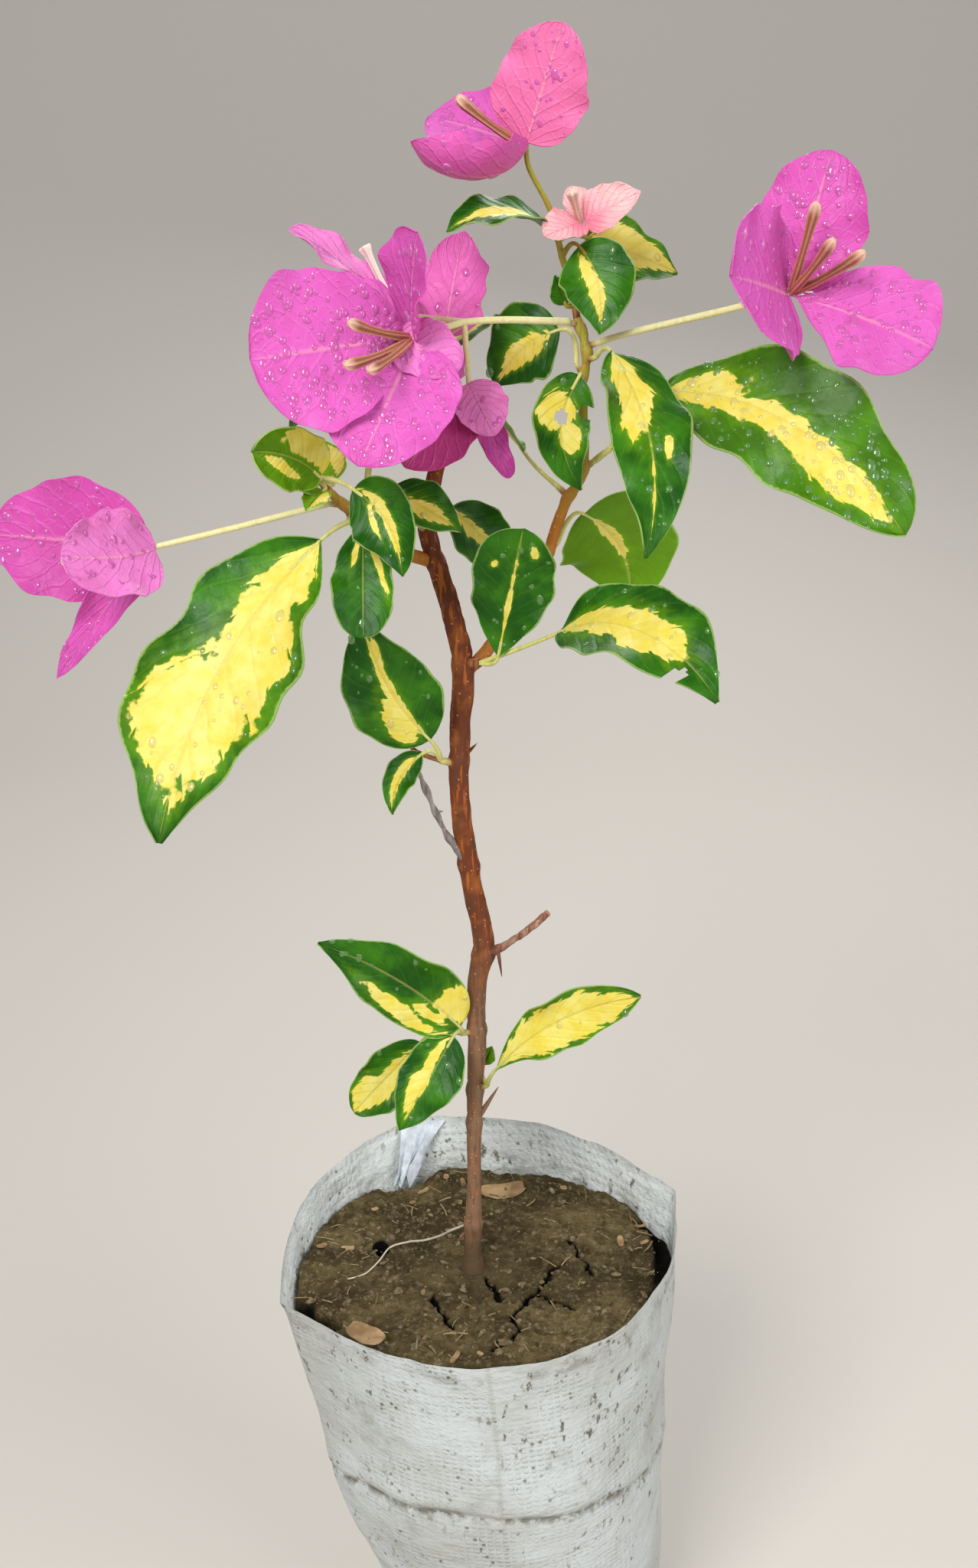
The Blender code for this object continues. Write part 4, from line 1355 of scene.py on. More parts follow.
            bract((1.2, 139, 7), (41, 174, 3), 31, (FRONT, 10), 15, 15, drops=60, tone=0.3),
            bract((1.2, -42, -11), (28, -130, 6), 23, (-60, 25), 15, 30, -25, drops=25, tone=0.85,
                  powers=(0.4, 0.45)),
            bract((1.2, 180, -56), (40, -168, -51), 11, (FRONT, 20), 20, 50, drops=12, tone=0.4,
                  powers=(0.35, 0.7), scallop=0.1),
            Floret((3, -150, 0), (20, -152, -4)))),), "pedicel"),
    Spray("left_tip_spray", "left_shoot", 393, (3, -160, 50), 1.0, (
        leaf((9, -40, 8), (25, -39, -51), 17, (-110, 15), 22, 20, -60, drops=5,
             lobes=(Lobe(0.48, -0.1, 0.44, 0.17, 0.3), Lobe(0.42, 0.3, 0.2, 0.1, 0.6))),
        leaf((6, -111, 42), (23, -131, 22), 17, (FRONT, 10), 15, 50, 40, tone=0.45,
             powers=(0.5, 0.45),
             lobes=(Lobe(0.35, 0.7, 0.42, 0.5), Lobe(0.55, -0.35, 0.26, 0.18, 0.6))),
        leaf((3, 57, 41), (12, 109, 47), 9, (FRONT, 20), 10, 20, tone=0.9,
             lobes=(Lobe(0.5, 0.5, 0.4, 0.4),)),
        leaf((3, -101, 12), (10, -114, -20), 7, (FRONT, 60), 15, 20, tone=0.9,
             lobes=(Lobe(0.5, -0.5, 0.4, 0.4),)),
        leaf((4, -150, 10), (11, -120, 25), 6, (FRONT, 30), 15, 20, tone=1.0))),
    Spray("left_back_spray", "left_shoot", 384, (2.5, 70, 60), 1.0, (
        Twig(((7, 80, 60), (14, 85, 50), (12, 90, 40)), 0.9,
             seeded_leaves(4, 3, 120, 60, -8, 32)),)),
    Spray("crown_back_spray", "trunk", 402, (3, 80, 50), 1.1, (
        Twig(((10, 95, 70), (9, 90, 60)), 1.0, seeded_leaves(9, 4, 100, 80, 15, 38)),)))


@dataclass
class Crown:
    """All the sprays: stalks, leaves, bracts and slim flowers, joined by kind, and the dew."""

    limbs: dict[str, "Limb"]
    finishes: dict[str, Material]
    stub_clear: float = 0.3
    stub_taper: float = 0.8
    twig_taper: float = 0.85
    stalk_radii: Pair = (0.713, 0.434)
    stalk_sides: int = 10
    sink: float = 0.12
    bead_faces: tuple[int, int] = (10, 6)
    drop_along: Pair = (0.06, 0.94)
    drop_across: Pair = (-0.9, 0.9)
    drop_sizes: Pair = (0.33, 1.15)
    drop_stretch: Pair = (0.8, 1.6)
    drop_height: float = 0.42
    drop_lift: float = 0.12
    drop_below: float = 0.15
    wetness = {Kind.LEAF: 1.4, Kind.BRACT: 1.8}

    def build(self) -> None:
        """Make every spray, then all the dew as one piece."""
        bpy.ops.object.select_all(action="DESELECT")
        segments, rings = self.bead_faces
        bpy.ops.mesh.primitive_uv_sphere_add(segments=segments, ring_count=rings, radius=1.0,
                                             calc_uvs=False)
        self.bead = bpy.context.object
        # 1 round each bead's base ring and 0 at its top; this places the dew's painted rim of light
        store(self.bead, edge=[1 - abs(vertex.co.z) for vertex in self.bead.data.vertices])
        bpy.ops.object.shade_smooth()
        self.drops = []
        for plan in SPRAYS:
            self.build_spray(plan)
        bpy.data.objects.remove(self.bead)
        dress(join("dew_drops", self.drops), self.finishes["dew"], None)

    def build_spray(self, plan: Spray) -> None:
        """Make one spray's pieces; the blades stand for the spray's node.

        Args:
            plan: of the spray.
        """
        self.dice = random.Random(len(plan.name) * 31 + round(plan.height))
        self.made = {"stalks": [], "leaves": [], "bracts": [], "florets": []}
        centre = self.limbs[plan.limb].at_height(plan.height)
        toward = aim(plan.stub[1], plan.stub[2])
        reach = self.limbs[plan.limb].radius_at(plan.height) + self.stub_clear + plan.stub[0]
        end = centre + toward * reach
        stub = self.stem([centre, end], plan.radius, plan.radius * self.stub_taper, 5,
                         (1.0, plan.woody))
        self.made["stalks"].append(stub)
        self.bear(plan.bears, centre, end)
        kinds = [kind for kind, parts in self.made.items() if parts]
        main = "bracts" if "bracts" in kinds and plan.stalk == "pedicel" else "leaves"
        slots = {"stalks": "shoot", "leaves": "leaf", "bracts": "bract", "florets": "bract"}
        finish = {"stalks": plan.stalk, "leaves": "leaf", "bracts": "bract", "florets": "floret"}
        for kind in kinds:
            name = plan.name.replace("spray", kind)
            piece = join(name, self.made[kind])
            if kind in ("leaves", "bracts"):
                self.lay_out(piece, len(self.made[kind]))
            shade_soft(piece, 60)
            nodes = [plan.name] if kind == main else []
            dress(piece, self.finishes[finish[kind]], slots[kind], *nodes)

    def lay_out(self, piece: Thing, count: int) -> None:
        """Give each blade of a joined piece its own cell of the baking map.

        Args:
            piece: the joined blades.
            count: how many they are.
        """
        columns = math.ceil(math.sqrt(count))
        rows = math.ceil(count / columns)
        mesh = piece.data
        layer = mesh.uv_layers["OFBake"]
        owner = self.islands(mesh)
        for face in mesh.polygons:
            cell = owner[face.vertices[0]]
            column, row = cell % columns, cell // columns
            for loop in face.loop_indices:
                u, v = layer.data[loop].uv
                layer.data[loop].uv = ((column + u) / columns, (row + v) / rows)

    @staticmethod
    def islands(mesh: bpy.types.Mesh) -> list[int]:
        """Find the loose parts of a mesh.

        Args:
            mesh: to search.

        Returns:
            Number of the loose part of each vertex.
        """
        parent = list(range(len(mesh.vertices)))

        def root(i: int) -> int:
            """First vertex of a loose part.

            Args:
                i: any vertex of it.

            Returns:
                The part's lowest vertex.
            """
            while parent[i] != i:
                parent[i] = parent[parent[i]]
                i = parent[i]
            return i

        for edge in mesh.edges:
            a, b = root(edge.vertices[0]), root(edge.vertices[1])
            parent[max(a, b)] = min(a, b)
        roots = [root(i) for i in range(len(parent))]
        order = {r: k for k, r in enumerate(sorted(set(roots)))}
        return [order[r] for r in roots]

    def stem(self, stations: list[Vector], thick: float, thin: float, parts: int = 5,
             woody: Pair = (0.0, 0.0)) -> Thing:
        """A smooth twig or stalk.

        Args:
            stations: the places it passes through.
            thick: radius at its start.
            thin: radius at its end.
            parts: pieces to a span.
            woody: how brown it is at its start and its end.

        Returns:
            The closed stem.
        """
        route = through([tuple(s) for s in stations], parts)
        radii = [lerp(thick, thin, i / (len(route) - 1)) for i in range(len(route))]
        return rolled_tube("stem", route, radii, self.stalk_sides,
                           lambda p, v: 0.06 * wobble(p, 1.6), woody)

    def bear(self, items: tuple, origin: Vector, start: Vector) -> None:
        """Put leaves, bracts, flowers and twigs on the end of a twig.

        Args:
            items: what it bears.
            origin: where their steps start.
            start: the twig's end.
        """
        for item in items:
            if isinstance(item, Twig):
                self.grow(item, origin, start)
            elif isinstance(item, Floret):
                self.made["florets"].append(item.make(start, origin))
            else:
                self.hang(item, origin, start)

    def grow(self, twig: Twig, origin: Vector, start: Vector) -> None:
        """Make a twig and all that it bears.

        Args:
            twig: to grow.
            origin: where its steps start.
            start: where its skin starts.
        """
        stations, place = [start], origin
        for step in twig.steps:
            place = step_from(place, step)
            stations.append(place)
        brown = (twig.woody, twig.woody)
        grown = self.stem(stations, twig.radius, twig.radius * self.twig_taper, 5, brown)
        self.made["stalks"].append(grown)
        self.bear(twig.bears, place, place)

    def hang(self, blade: Blade, origin: Vector, start: Vector) -> None:
        """Make a leaf with its stalk, or a bract, and its dew.

        Args:
            blade: to make.
            origin: where its step starts.
            start: where its stalk starts.
        """
        base = step_from(origin, blade.reach)
        phase = self.dice.uniform(0, 2 * math.pi) if blade.phase is None else blade.phase
        kind = "leaves" if blade.kind is Kind.LEAF else "bracts"
        self.made[kind].append(blade.make(base, phase))
        if blade.kind is Kind.LEAF:
            sunk = blade.row(base, self.sink)[0]
            stalk = bow_route(start, base, (sunk - base).normalized(), 4) + [sunk]
            self.made["stalks"].append(self.stem(stalk, *self.stalk_radii, 3))
        for _ in range(round(blade.drops * self.wetness[blade.kind])):
            self.drops.append(self.drop(blade, base, phase))

    def drop(self, blade: Blade, base: Vector, phase: float) -> Thing:
        """One bead of water, lying on a blade.

        Args:
            blade: under the bead.
            base: where the blade starts.
            phase: of its wave.

        Returns:
            The bead.
        """
        s = self.dice.uniform(*self.drop_along)
        t = self.dice.uniform(*self.drop_across)
        place, up = blade.point(base, s, t, phase)
        if self.dice.random() < self.drop_below:
            up = -up
        size = lerp(*self.drop_sizes, self.dice.random() ** 2.2)
        stretch = self.dice.uniform(*self.drop_stretch)
        turned = up.to_track_quat("Z", "Y").to_matrix()
        shape = (size, size * stretch, size * self.drop_height)
        made = own_copy(self.bead, placed(place + up * self.drop_lift, turned, shape))
        under = 1.0 if blade.kind is Kind.BRACT else 0.5 if blade.cream(s, t) > 0 else 0.0
        store(made, under=[under] * len(made.data.vertices))
        return made


# ---- trunk and boughs

@dataclass
class Limb:
    """Trunk, bough or dead twig: (x, y, z, radius) at each bend, with a skin of its own relief."""

    name: str
    bends: tuple[tuple[float, float, float, float], ...]
    sides: int
    ridges: float
    nodes: tuple[float, ...] = ()
    thorns: tuple[tuple[float, Step, float], ...] = ()
    spacing: float = 0.8

    def __post_init__(self) -> None:
        """Work out the centre line."""
        spans = zip(self.bends, self.bends[1:])
        length = sum((Vector(b[:3]) - Vector(a[:3])).length for a, b in spans)
        parts = max(2, round(length / self.spacing / (len(self.bends) - 1)))
        stations = through(self.bends, parts)
        self.route = [Vector(s[:3]) for s in stations]
        self.radii = [s[3] for s in stations]

    def index_at(self, height: float) -> int:
        """Point of the centre line nearest to a height."""
        return min(range(len(self.route)), key=lambda i: abs(self.route[i].z - height))

    def at_height(self, height: float) -> Vector:
        """Centre at a height."""
        return self.route[self.index_at(height)].copy()

    def radius_at(self, height: float) -> float:
        """Radius at a height."""
        return self.radii[self.index_at(height)]

    def relief(self, skin: Vector, v: float) -> float:
        """How far bark stands out.

        Args:
            skin: point of the skin.
            v: share of the length, which a tube hands on.

        Returns:
            The distance.
        """
        drawn = Vector((skin.x, skin.y, skin.z * 0.16))
        rough = self.ridges * smooth(205, 275, skin.z) + self.ridges * 0.35
        out = rough * (wobble(drawn, 1.1) + 0.5 * wobble(drawn, 0.5, 3.0))
        out += 0.25 * wobble(skin, 9.0, 5.0)
        for node in self.nodes:
            up = skin.z - node
            out += 0.45 * bell(up / 1.8) - 0.2 * bell((up - 3) / 0.5)
        return out

    def build(self, material: Material, slot: str) -> None:
        """Make the skin and its thorns, which stand for the limb's node.

        Args:
            material: of the skin.
            slot: of the skin.
        """
        parts = [rolled_tube(self.name + "_skin", self.route, self.radii, self.sides, self.relief)]
        for height, step, radius in self.thorns:
            root = self.at_height(height)
            tip = step_from(root, step)
            route = through([tuple(root), tuple(root.lerp(tip, 0.6)), tuple(tip)], 6)
            radii = [radius * (1 - 0.93 * i / (len(route) - 1)) for i in range(len(route))]
            parts.append(rolled_tube("thorn", route, radii, 10, lambda p, v: 0.05 * wobble(p, 1.0)))
        skin = join(self.name + "_skin", parts)
        shade_soft(skin, 60)
        dress(skin, material, slot, self.name)


LIMBS = (
    (Limb("trunk", (
        (-18, 0, 147.5, 3.8), (-18, 0, 152.5, 3.3), (-18, 0, 158, 2.7), (-17.5, 1, 180, 2.2),
        (-17.5, 1, 198, 2.2), (-17, 1.5, 215, 2.5), (-16.5, 2, 227, 2.7), (-16.5, 2, 247, 2.8),
        (-14.5, 2, 260, 3.0), (-18, 1, 280, 2.8), (-21, 0, 304, 2.8), (-21, 0, 324, 2.8),
        (-20, 0, 343, 2.9), (-23, 1, 358, 2.7), (-28, 3, 374, 2.5), (-29, 5, 383, 2.3),
        (-25, 8, 402, 1.7)), 40, 0.2, (165.5, 201, 212, 232, 256, 285, 316, 343, 371),
        ((166, (9.7, -170, -51), 0.8), (201, (14, 10, 58), 1.2), (316, (7, 20, 40), 1.0))),
     "bark", "bark"),
    (Limb("right_shoot", (
        (-20, 0, 341, 1.8), (-14, 3, 346, 1.8), (-7.5, 8, 355, 1.7), (-0.5, 11, 364, 1.6),
        (3, 12, 372, 1.5), (5.5, 11, 380, 1.4), (8, 9, 387, 1.4), (11.5, 4, 395, 1.3),
        (11, 0, 410, 1.2), (10.5, -1, 418, 1.2), (11.5, -2, 425, 1.1), (9, 0, 433, 1.0)),
        24, 0.08, (371, 387, 395, 419, 425, 431)), "shoot", "shoot"),
    (Limb("left_shoot", (
        (-28, 3, 371, 1.9), (-34, -2, 374, 1.7), (-40, -6, 378, 1.6), (-46, -12, 385, 1.5),
        (-50, -15, 390, 1.3), (-53, -16, 393, 1.1)), 24, 0.08, (384, 389)), "shoot", "shoot"),
    (Limb("dead_twig_left", (
        (-19, 0, 285, 1.1), (-24, -2, 294, 0.75), (-28, -3, 303, 0.65), (-32, -4, 314, 0.5)),
        16, 0.12, (294, 302, 309), ((302, (3, -40, 20), 0.6),)), "grey_wood", "dead_wood"),
    (Limb("dead_twig_right", (
        (-16.5, 2, 255, 1.5), (-13.5, 1, 257, 1.1), (-10.5, 0, 259, 0.8), (-4.5, -2, 264, 0.65),
        (1, -2.6, 269, 0.6), (3.5, -3, 272, 0.75)), 16, 0.16, (259.5, 263, 266, 269, 271.5),
        ((259, (8, -70, -64), 0.7),)), "red_wood", "dead_wood"))


# ---- grow bag and soil

@dataclass
class GrowBag:
    """Thin woven sheet, round at the floor, leaning and wider at the mouth, with corner folds."""

    base_centre: Pair = (5.0, 0.0)
    base_radius: float = 40.0
    mouth_centre: Pair = (-16.0, 4.0)
    mouth_radii: Pair = (58.0, 56.0)
    belly: float = 0.18
    rim_height: float = 160.0
    rim_rise: float = 5.0
    wall: float = 0.6
    turn_radius: float = 4.0
    folds: tuple[Pair, ...] = ((209.0, 0.16), (18.0, 0.14), (109.0, 0.09))
    fold_width: float = 15.0
    fold_crisp: float = 1.1
    inner_floor: float = 3.0
    crease_level: float = 89.5
    crease_lean: Pair = (-2.5, -9.0)
    crease_width: float = 1.5
    soiled: Pair = (158.0, 145.0)
    rim_line: Pair = (0.583, 0.006)
    sheet_faces: tuple[int, int] = (200, 200)
    floor_hub: float = 0.02
    outer_from: float = 0.06
    inner_from: float = 0.6
    inner_to: float = 0.9
    foot_level: float = 0.025
    flap_turn: float = 109.0
    flap_width: float = 15.0
    flap_drift: float = 13.0
    flap_top: float = 0.995
    flap_drop: float = 0.092
    flap_gap: float = 1.2

    def point(self, turn: float, level: float, inset: float) -> Vector:
        """Point of the sheet.

        Args:
            turn: heading, in degrees.
            level: share of the height, from floor to rim.
            inset: distance inside the outer face.

        Returns:
            The point.
        """
        share = level + self.belly * math.sin(math.pi * level) ** 2
        centre = [lerp(a, b, share) for a, b in zip(self.base_centre, self.mouth_centre)]
        fold = 0.0
        for heading, depth in self.folds:
            away = abs(apart(turn, heading)) / self.fold_width
            fold += depth * level * level * math.exp(-away ** self.fold_crisp)
        angle = math.radians(turn)
        height = level * (self.rim_height + self.rim_rise * math.sin(angle))
        spot = Vector((math.cos(angle) * 50, math.sin(angle) * 50, height))
        stand = self.crumple(spot, turn, level) - inset
        x, y = (middle + (lerp(self.base_radius, mouth, share) + stand) * (1 + fold) * outward
                for middle, mouth, outward in
                zip(centre, self.mouth_radii, (math.cos(angle), math.sin(angle))))
        return Vector((x, y, height + self.frill(spot, level)))

    @staticmethod
    def frill(spot: Vector, level: float) -> float:
        """Uneven height of the cut rim."""
        uneven = 0.9 * wobble(spot, 12.0, 2.0) + 0.35 * wobble(spot, 3.0, 4.0)
        return smooth(0.93, 1.0, level) * uneven

    def crumple(self, spot: Vector, turn: float, level: float) -> float:
        """How far the slack sheet stands out: dents, sharp creases and a folded ring.

        Args:
            spot: place on the plain wall.
            turn: its heading.
            level: its share of the height.

        Returns:
            The distance.
        """
        quiet = smooth(0.0, 0.12, level)
        dents = 1.4 * wobble(spot, 34.0) + 0.6 * wobble(spot, 15.0, 7.0)
        creases = 0.55 * (0.5 - abs(wobble(Vector((spot.x, spot.y, spot.z * 0.6)), 11.0, 9.0)))
        fine = 0.12 * wobble(spot, 3.5, 11.0)
        above = spot.z - self.crease_height(turn)
        ring = -0.9 * bell(above / 1.1)
        lift = 0.45 * bell((above - 4) / 3.5)
        return quiet * (dents + creases + fine + ring + lift)

    def crease_height(self, turn: float) -> float:
        """Height of the ring where the sheet was once folded.

        Args:
            turn: heading, in degrees.

        Returns:
            The height.
        """
        angle = math.radians(turn)
        lean = self.crease_lean[0] * math.cos(angle) + self.crease_lean[1] * math.sin(angle)
        spot = Vector((math.cos(angle) * 50, math.sin(angle) * 50, 0))
        return self.crease_level + lean + 2.5 * wobble(spot, 18.0)

    def place(self, u: float, v: float) -> Vector:
        """Point of the closed sheet: underside, outer wall, rim, inner wall and inner floor.

        Args:
            u: share of a whole turn.
            v: share of the way from underside to inner floor.

        Returns:
            The point.
        """
        turn = u * 360
        if v <= self.outer_from:
            ring = self.point(turn, 0.0, self.turn_radius)
            middle = Vector((*self.base_centre, 0.0))
            return middle.lerp(ring, max(v / self.outer_from, self.floor_hub))
        if v <= self.inner_from:
            level = (v - self.outer_from) / (self.inner_from - self.outer_from)
            inset = self.turn_radius * (1 - min(level / self.foot_level, 1.0)) ** 2
            return self.point(turn, level, inset)
        if v <= self.inner_to:
            share = (v - self.inner_from) / (self.inner_to - self.inner_from)
            return self.point(turn, 1 - share * (1 - self.foot_level), self.wall)
        ring = self.point(turn, self.foot_level, self.wall)
        ring.z = self.inner_floor
        middle = Vector((*self.base_centre, self.inner_floor))
        return middle.lerp(ring, max((1 - v) / (1 - self.inner_to), self.floor_hub))

    def build(self, material: Material, torn: Material) -> None:
        """Make the bag and its torn inner flap.

        Args:
            material: of the sheet.
            torn: of the flap.
        """
        marks = []

        def place(u: float, v: float) -> Vector:
            """Point of the sheet, noting its crease and whether it's near the soil inside.

            Args:
                u: share of a turn.
                v: share of the way.

            Returns:
                The point.
            """
            spot = self.place(u, v)
            away = (spot.z - self.crease_height(u * 360)) / self.crease_width
            outside, inside = self.outer_from < v < self.inner_from, v > self.inner_from
            rim = bell((v - self.rim_line[0]) / self.rim_line[1])
            marks.append((bell(away) if outside else 0.0,
                          smooth(*self.soiled, spot.z) if inside else 0.0, rim, float(inside)))
            return spot

        bag = shaped_grid("woven_sheet", *self.sheet_faces, place)
        store(bag, **dict(zip(("crease", "inner", "rim", "inside"), zip(*marks))))
        close_up(bag)
        shade_soft(bag, 70)
        dress(bag, material, "bag", "grow_bag")
        self.build_flap(torn)

    def build_flap(self, material: Material) -> None:
        """Make the torn flap that hangs inside the far left of the rim.

        Args:
            material: of the flap.
        """
        def place(u: float, v: float) -> Vector:
            """Point of the flap.

            Args:
                u: share across it.
                v: share down it.

            Returns:
                The point.
            """
            across = (u - 0.5) * (1 - 0.55 * v)
            ragged = 1 + 0.4 * noise.noise(Vector((u * 9, 0, 0)))
            bow = 3.6 * math.sin(2.2 * v) + 1.1 * math.sin(14 * u) * v
            return self.point(self.flap_turn + self.flap_width * across + self.flap_drift * v,
                              self.flap_top - self.flap_drop * v * ragged, self.flap_gap + bow)

        flap = shaped_grid("torn_flap", 30, 20, place)
        apply_modifier(flap, "SOLIDIFY", thickness=0.25 * MM, offset=0.0)
        shade_soft(flap, 60)
        dress(flap, material, "bag")


@dataclass
class Soil:
    """Crusted soil: cracks, a hole, crumbs, straw, bits of dry leaf and a root hair."""

    bag: GrowBag
    foot: Pair = (-18.0, 0.0)
    top: float = 150.0
    slope: float = 0.075
    level: float = 0.93
    gap: float = 1.2
    pad: float = 9.0
    cracks: tuple[tuple[Pair, ...], ...] = (
        ((10, 2.5), (1, -14), (-6, -27), (-4.5, -35.5), (-11.5, -42)),
        ((12.5, 14.5), (19, -4)),
        ((-14, -5), (-11, -12), (-9.5, -18)),
        ((-30.5, -15), (-27, -24), (-23, -31.5)),
        ((1, -14), (8, -20), (12, -22)))
    hole: Triple = (-47.0, 10.0, 2.3)
    hole_depth: float = 7.0
    slump_depth: float = 7.0
    crack_depth: float = 2.6
    underside: float = 0.78
    crust_faces: tuple[int, int] = (380, 200)
    crust_share: float = 0.9
    crumbs: int = 700
    straws: int = 70
    flakes: int = 16
    chips: tuple[tuple[float, ...], ...] = (
        (-8.5, 43, 15, 8, 12, 2.2), (-48.5, -36.5, 12, 7, -35, 0.8))
    hair_start: tuple[Triple, ...] = ((-18.5, 1, 165.5), (-24.4, 5, 160), (-28.2, 9, 155))
    hair_over: tuple[Triple, ...] = (
        (-33.4, 12.3, 1.3), (-38.4, 11.7, 0.9), (-44.1, 8.6, 1.2), (-47.2, 1.6, 0.8),
        (-51.1, -4.8, 0.6), (-56.2, -7.7, 0.4))
    slumps: tuple[Triple, ...] = ((8, 20, 0.9), (211, 9, 0.9), (118, 9, 0.94), (345, 8, 0.93))

    def away(self, x: float, y: float) -> float:
        """Distance of a place from the trunk's foot."""
        return math.hypot(x - self.foot[0], y - self.foot[1])

    def towards(self, wall: Vector, share: float) -> Pair:
        """Place at a share of the way from the trunk's foot to a point of the wall."""
        return lerp(self.foot[0], wall.x, share), lerp(self.foot[1], wall.y, share)

    def slumped(self, turn: float) -> float:
        """How deep the soil has sunk away at the wall at a turn."""
        return self.slump_depth * max(math.exp(-(apart(turn, heading) / spread) ** 4)
                                      for heading, spread, _ in self.slumps)

    def edge_level(self, turn: float) -> float:
        """Level where the crust meets the wall, low enough that the wall clears it.

        Args:
            turn: heading, in degrees.

        Returns:
            Share of the bag's height.
        """
        rim = self.bag.rim_height + self.bag.rim_rise * math.sin(math.radians(turn))
        y = self.bag.point(turn, self.level, self.gap).y
        return min(self.level, (self.top - self.slope * y - self.slumped(turn) - 2.0) / rim)

    def lines(self, x: np.ndarray, y: np.ndarray) -> np.ndarray:
        """Find the nearest crack.

        Args:
            x: of each place.
            y: of each place.

        Returns:
            Distance from each place to it.
        """
        best = np.full(x.shape, 99.0)
        for crack in self.cracks:
            for (ax, ay), (bx, by) in zip(crack, crack[1:]):
                dx, dy = bx - ax, by - ay
                f = np.clip(((x - ax) * dx + (y - ay) * dy) / (dx * dx + dy * dy), 0, 1)
                best = np.minimum(best, np.hypot(x - ax - f * dx, y - ay - f * dy))
        return best

    def height(self, x: float, y: float) -> float:
        """Level of the crust before cracks.

        Args:
            x: of the place.
            y: of the place.

        Returns:
            The height.
        """
        spot = Vector((x, y, 0.0))
        away = self.away(x, y)
        share = min(max((away - self.pad) / self.pad, 0.0), 1.0)
        lumps = 1.5 * wobble(spot, 17.0) + 0.9 * wobble(spot, 7.0, 3.0)
        rough = self.grit(x, y) * (0.4 + 0.6 * share)
        return self.top + share * (lumps - self.slope * y) + rough - bell(away / 5.0)

    @staticmethod
    def grit(x: float, y: float) -> float:
        """How far small clods stand out of the crust.

        Args:
            x: of the place.
            y: of the place.

        Returns:
            The distance.
        """
        spot = Vector((x, y, 0.0))
        clods = 1.0 - 2.2 * abs(wobble(spot, 3.6, 5.0))
        return 0.75 * clods + 0.6 * wobble(spot, 1.7, 7.0) + 0.3 * wobble(spot, 0.8, 9.0)

    def build(self, finishes: dict[str, Material]) -> None:
        """Make the crust and what lies on it.

        Args:
            finishes: materials by name.
        """
        self.build_crust(finishes["soil"])
        self.build_crumbs(finishes["crumb"])
        self.build_litter(finishes["straw"])
        self.build_chip(finishes["chip"])
        self.build_hair(finishes["hair"])

    def build_crust(self, material: Material) -> None:
        """Make the soil's closed body, with its cracks and hole sunk in.

        Args:
            material: of the soil.
        """
        spots = []

        def place(u: float, v: float) -> Triple:
            """Point of the soil: top from the trunk out, then down the wall and under.

            Args:
                u: share of a turn.
                v: share of the way.

            Returns:
                The point.
            """
            turn = u * 360
            level = self.edge_level(turn)
            rim = self.bag.point(turn, level, self.gap)
            share = v / self.crust_share
            x, y = self.towards(rim, min(share, 1.0))
            spots.append((share, turn, self.grit(x, y)))
            if v <= self.crust_share:
                return x, y, self.height(x, y)
            drop = (v - self.crust_share) / (1 - self.crust_share)
            fallen = lerp(level - 0.02, self.underside, min(drop * 2, 1.0))
            low = self.bag.point(turn, fallen, self.gap)
            inner = 1 - max(drop - 0.5, 0.0) * 1.9
            return *self.towards(low, inner), low.z

        crust = shaped_grid("soil_crust", *self.crust_faces, place)
        mesh = crust.data
        flat = np.empty(len(mesh.vertices) * 3)
        mesh.vertices.foreach_get("co", flat)
        points = flat.reshape(-1, 3) / MM
        wander = np.array([[wobble(spot, 4.0, k) + 0.5 * wobble(spot, 1.5, k) for k in (1.0, 2.0)]
                           for spot in map(Vector, points)])
        x, y = points[:, 0] + wander[:, 0] * 1.6, points[:, 1] + wander[:, 1] * 1.6
        width = 0.65 + 0.35 * wander[:, 0]
        sunk = np.exp(-(self.lines(x, y) / width) ** 2)
        across = np.hypot(points[:, 0] - self.hole[0], (points[:, 1] - self.hole[1]) * 0.7)
        across += 0.3 * wander[:, 0]
        pit = np.exp(-(across / self.hole[2]) ** 6)
        mouth = np.exp(-(across / (self.hole[2] + 0.5)) ** 10)
        share, turn, grit = np.array(spots).T
        upper = share < 1.0
        slump = np.zeros(len(points))
        for heading, spread, reach in self.slumps:
            away = apart(turn, heading) / spread
            slump = np.maximum(slump, np.exp(-away ** 4) * np.clip((share - reach) / 0.03, 0, 1))
        sunken = self.crack_depth * sunk + self.hole_depth * pit + self.slump_depth * slump
        points[:, 2] -= sunken * upper
        mesh.vertices.foreach_set("co", (points * MM).ravel())
        near = np.hypot(points[:, 0] - self.foot[0] - 5, points[:, 1] - self.foot[1] + 4)
        # the first mask stored marks where shade is painted: the cracks, the hole's mouth and the
        # slumps
        store(crust, hollow=np.clip(sunk + mouth + slump, 0, 1) * upper,
              damp=np.exp(-(near / 16) ** 2), grit=grit)
        close_up(crust)
        shade_soft(crust, 80)
        dress(crust, material, "soil", "soil")

    def on_crust(self, dice: random.Random, least: float = 6.0) -> Triple:
        """A seeded place on the crust.

        Args:
            dice: to draw from.
            least: distance to keep from the trunk.

        Returns:
            The place.
        """
        while True:
            turn, share = dice.uniform(0, 360), math.sqrt(dice.random()) * 0.95
            rim = self.bag.point(turn, self.edge_level(turn), self.gap)
            x, y = self.towards(rim, share)
            if self.away(x, y) > least:
                return x, y, self.height(x, y)

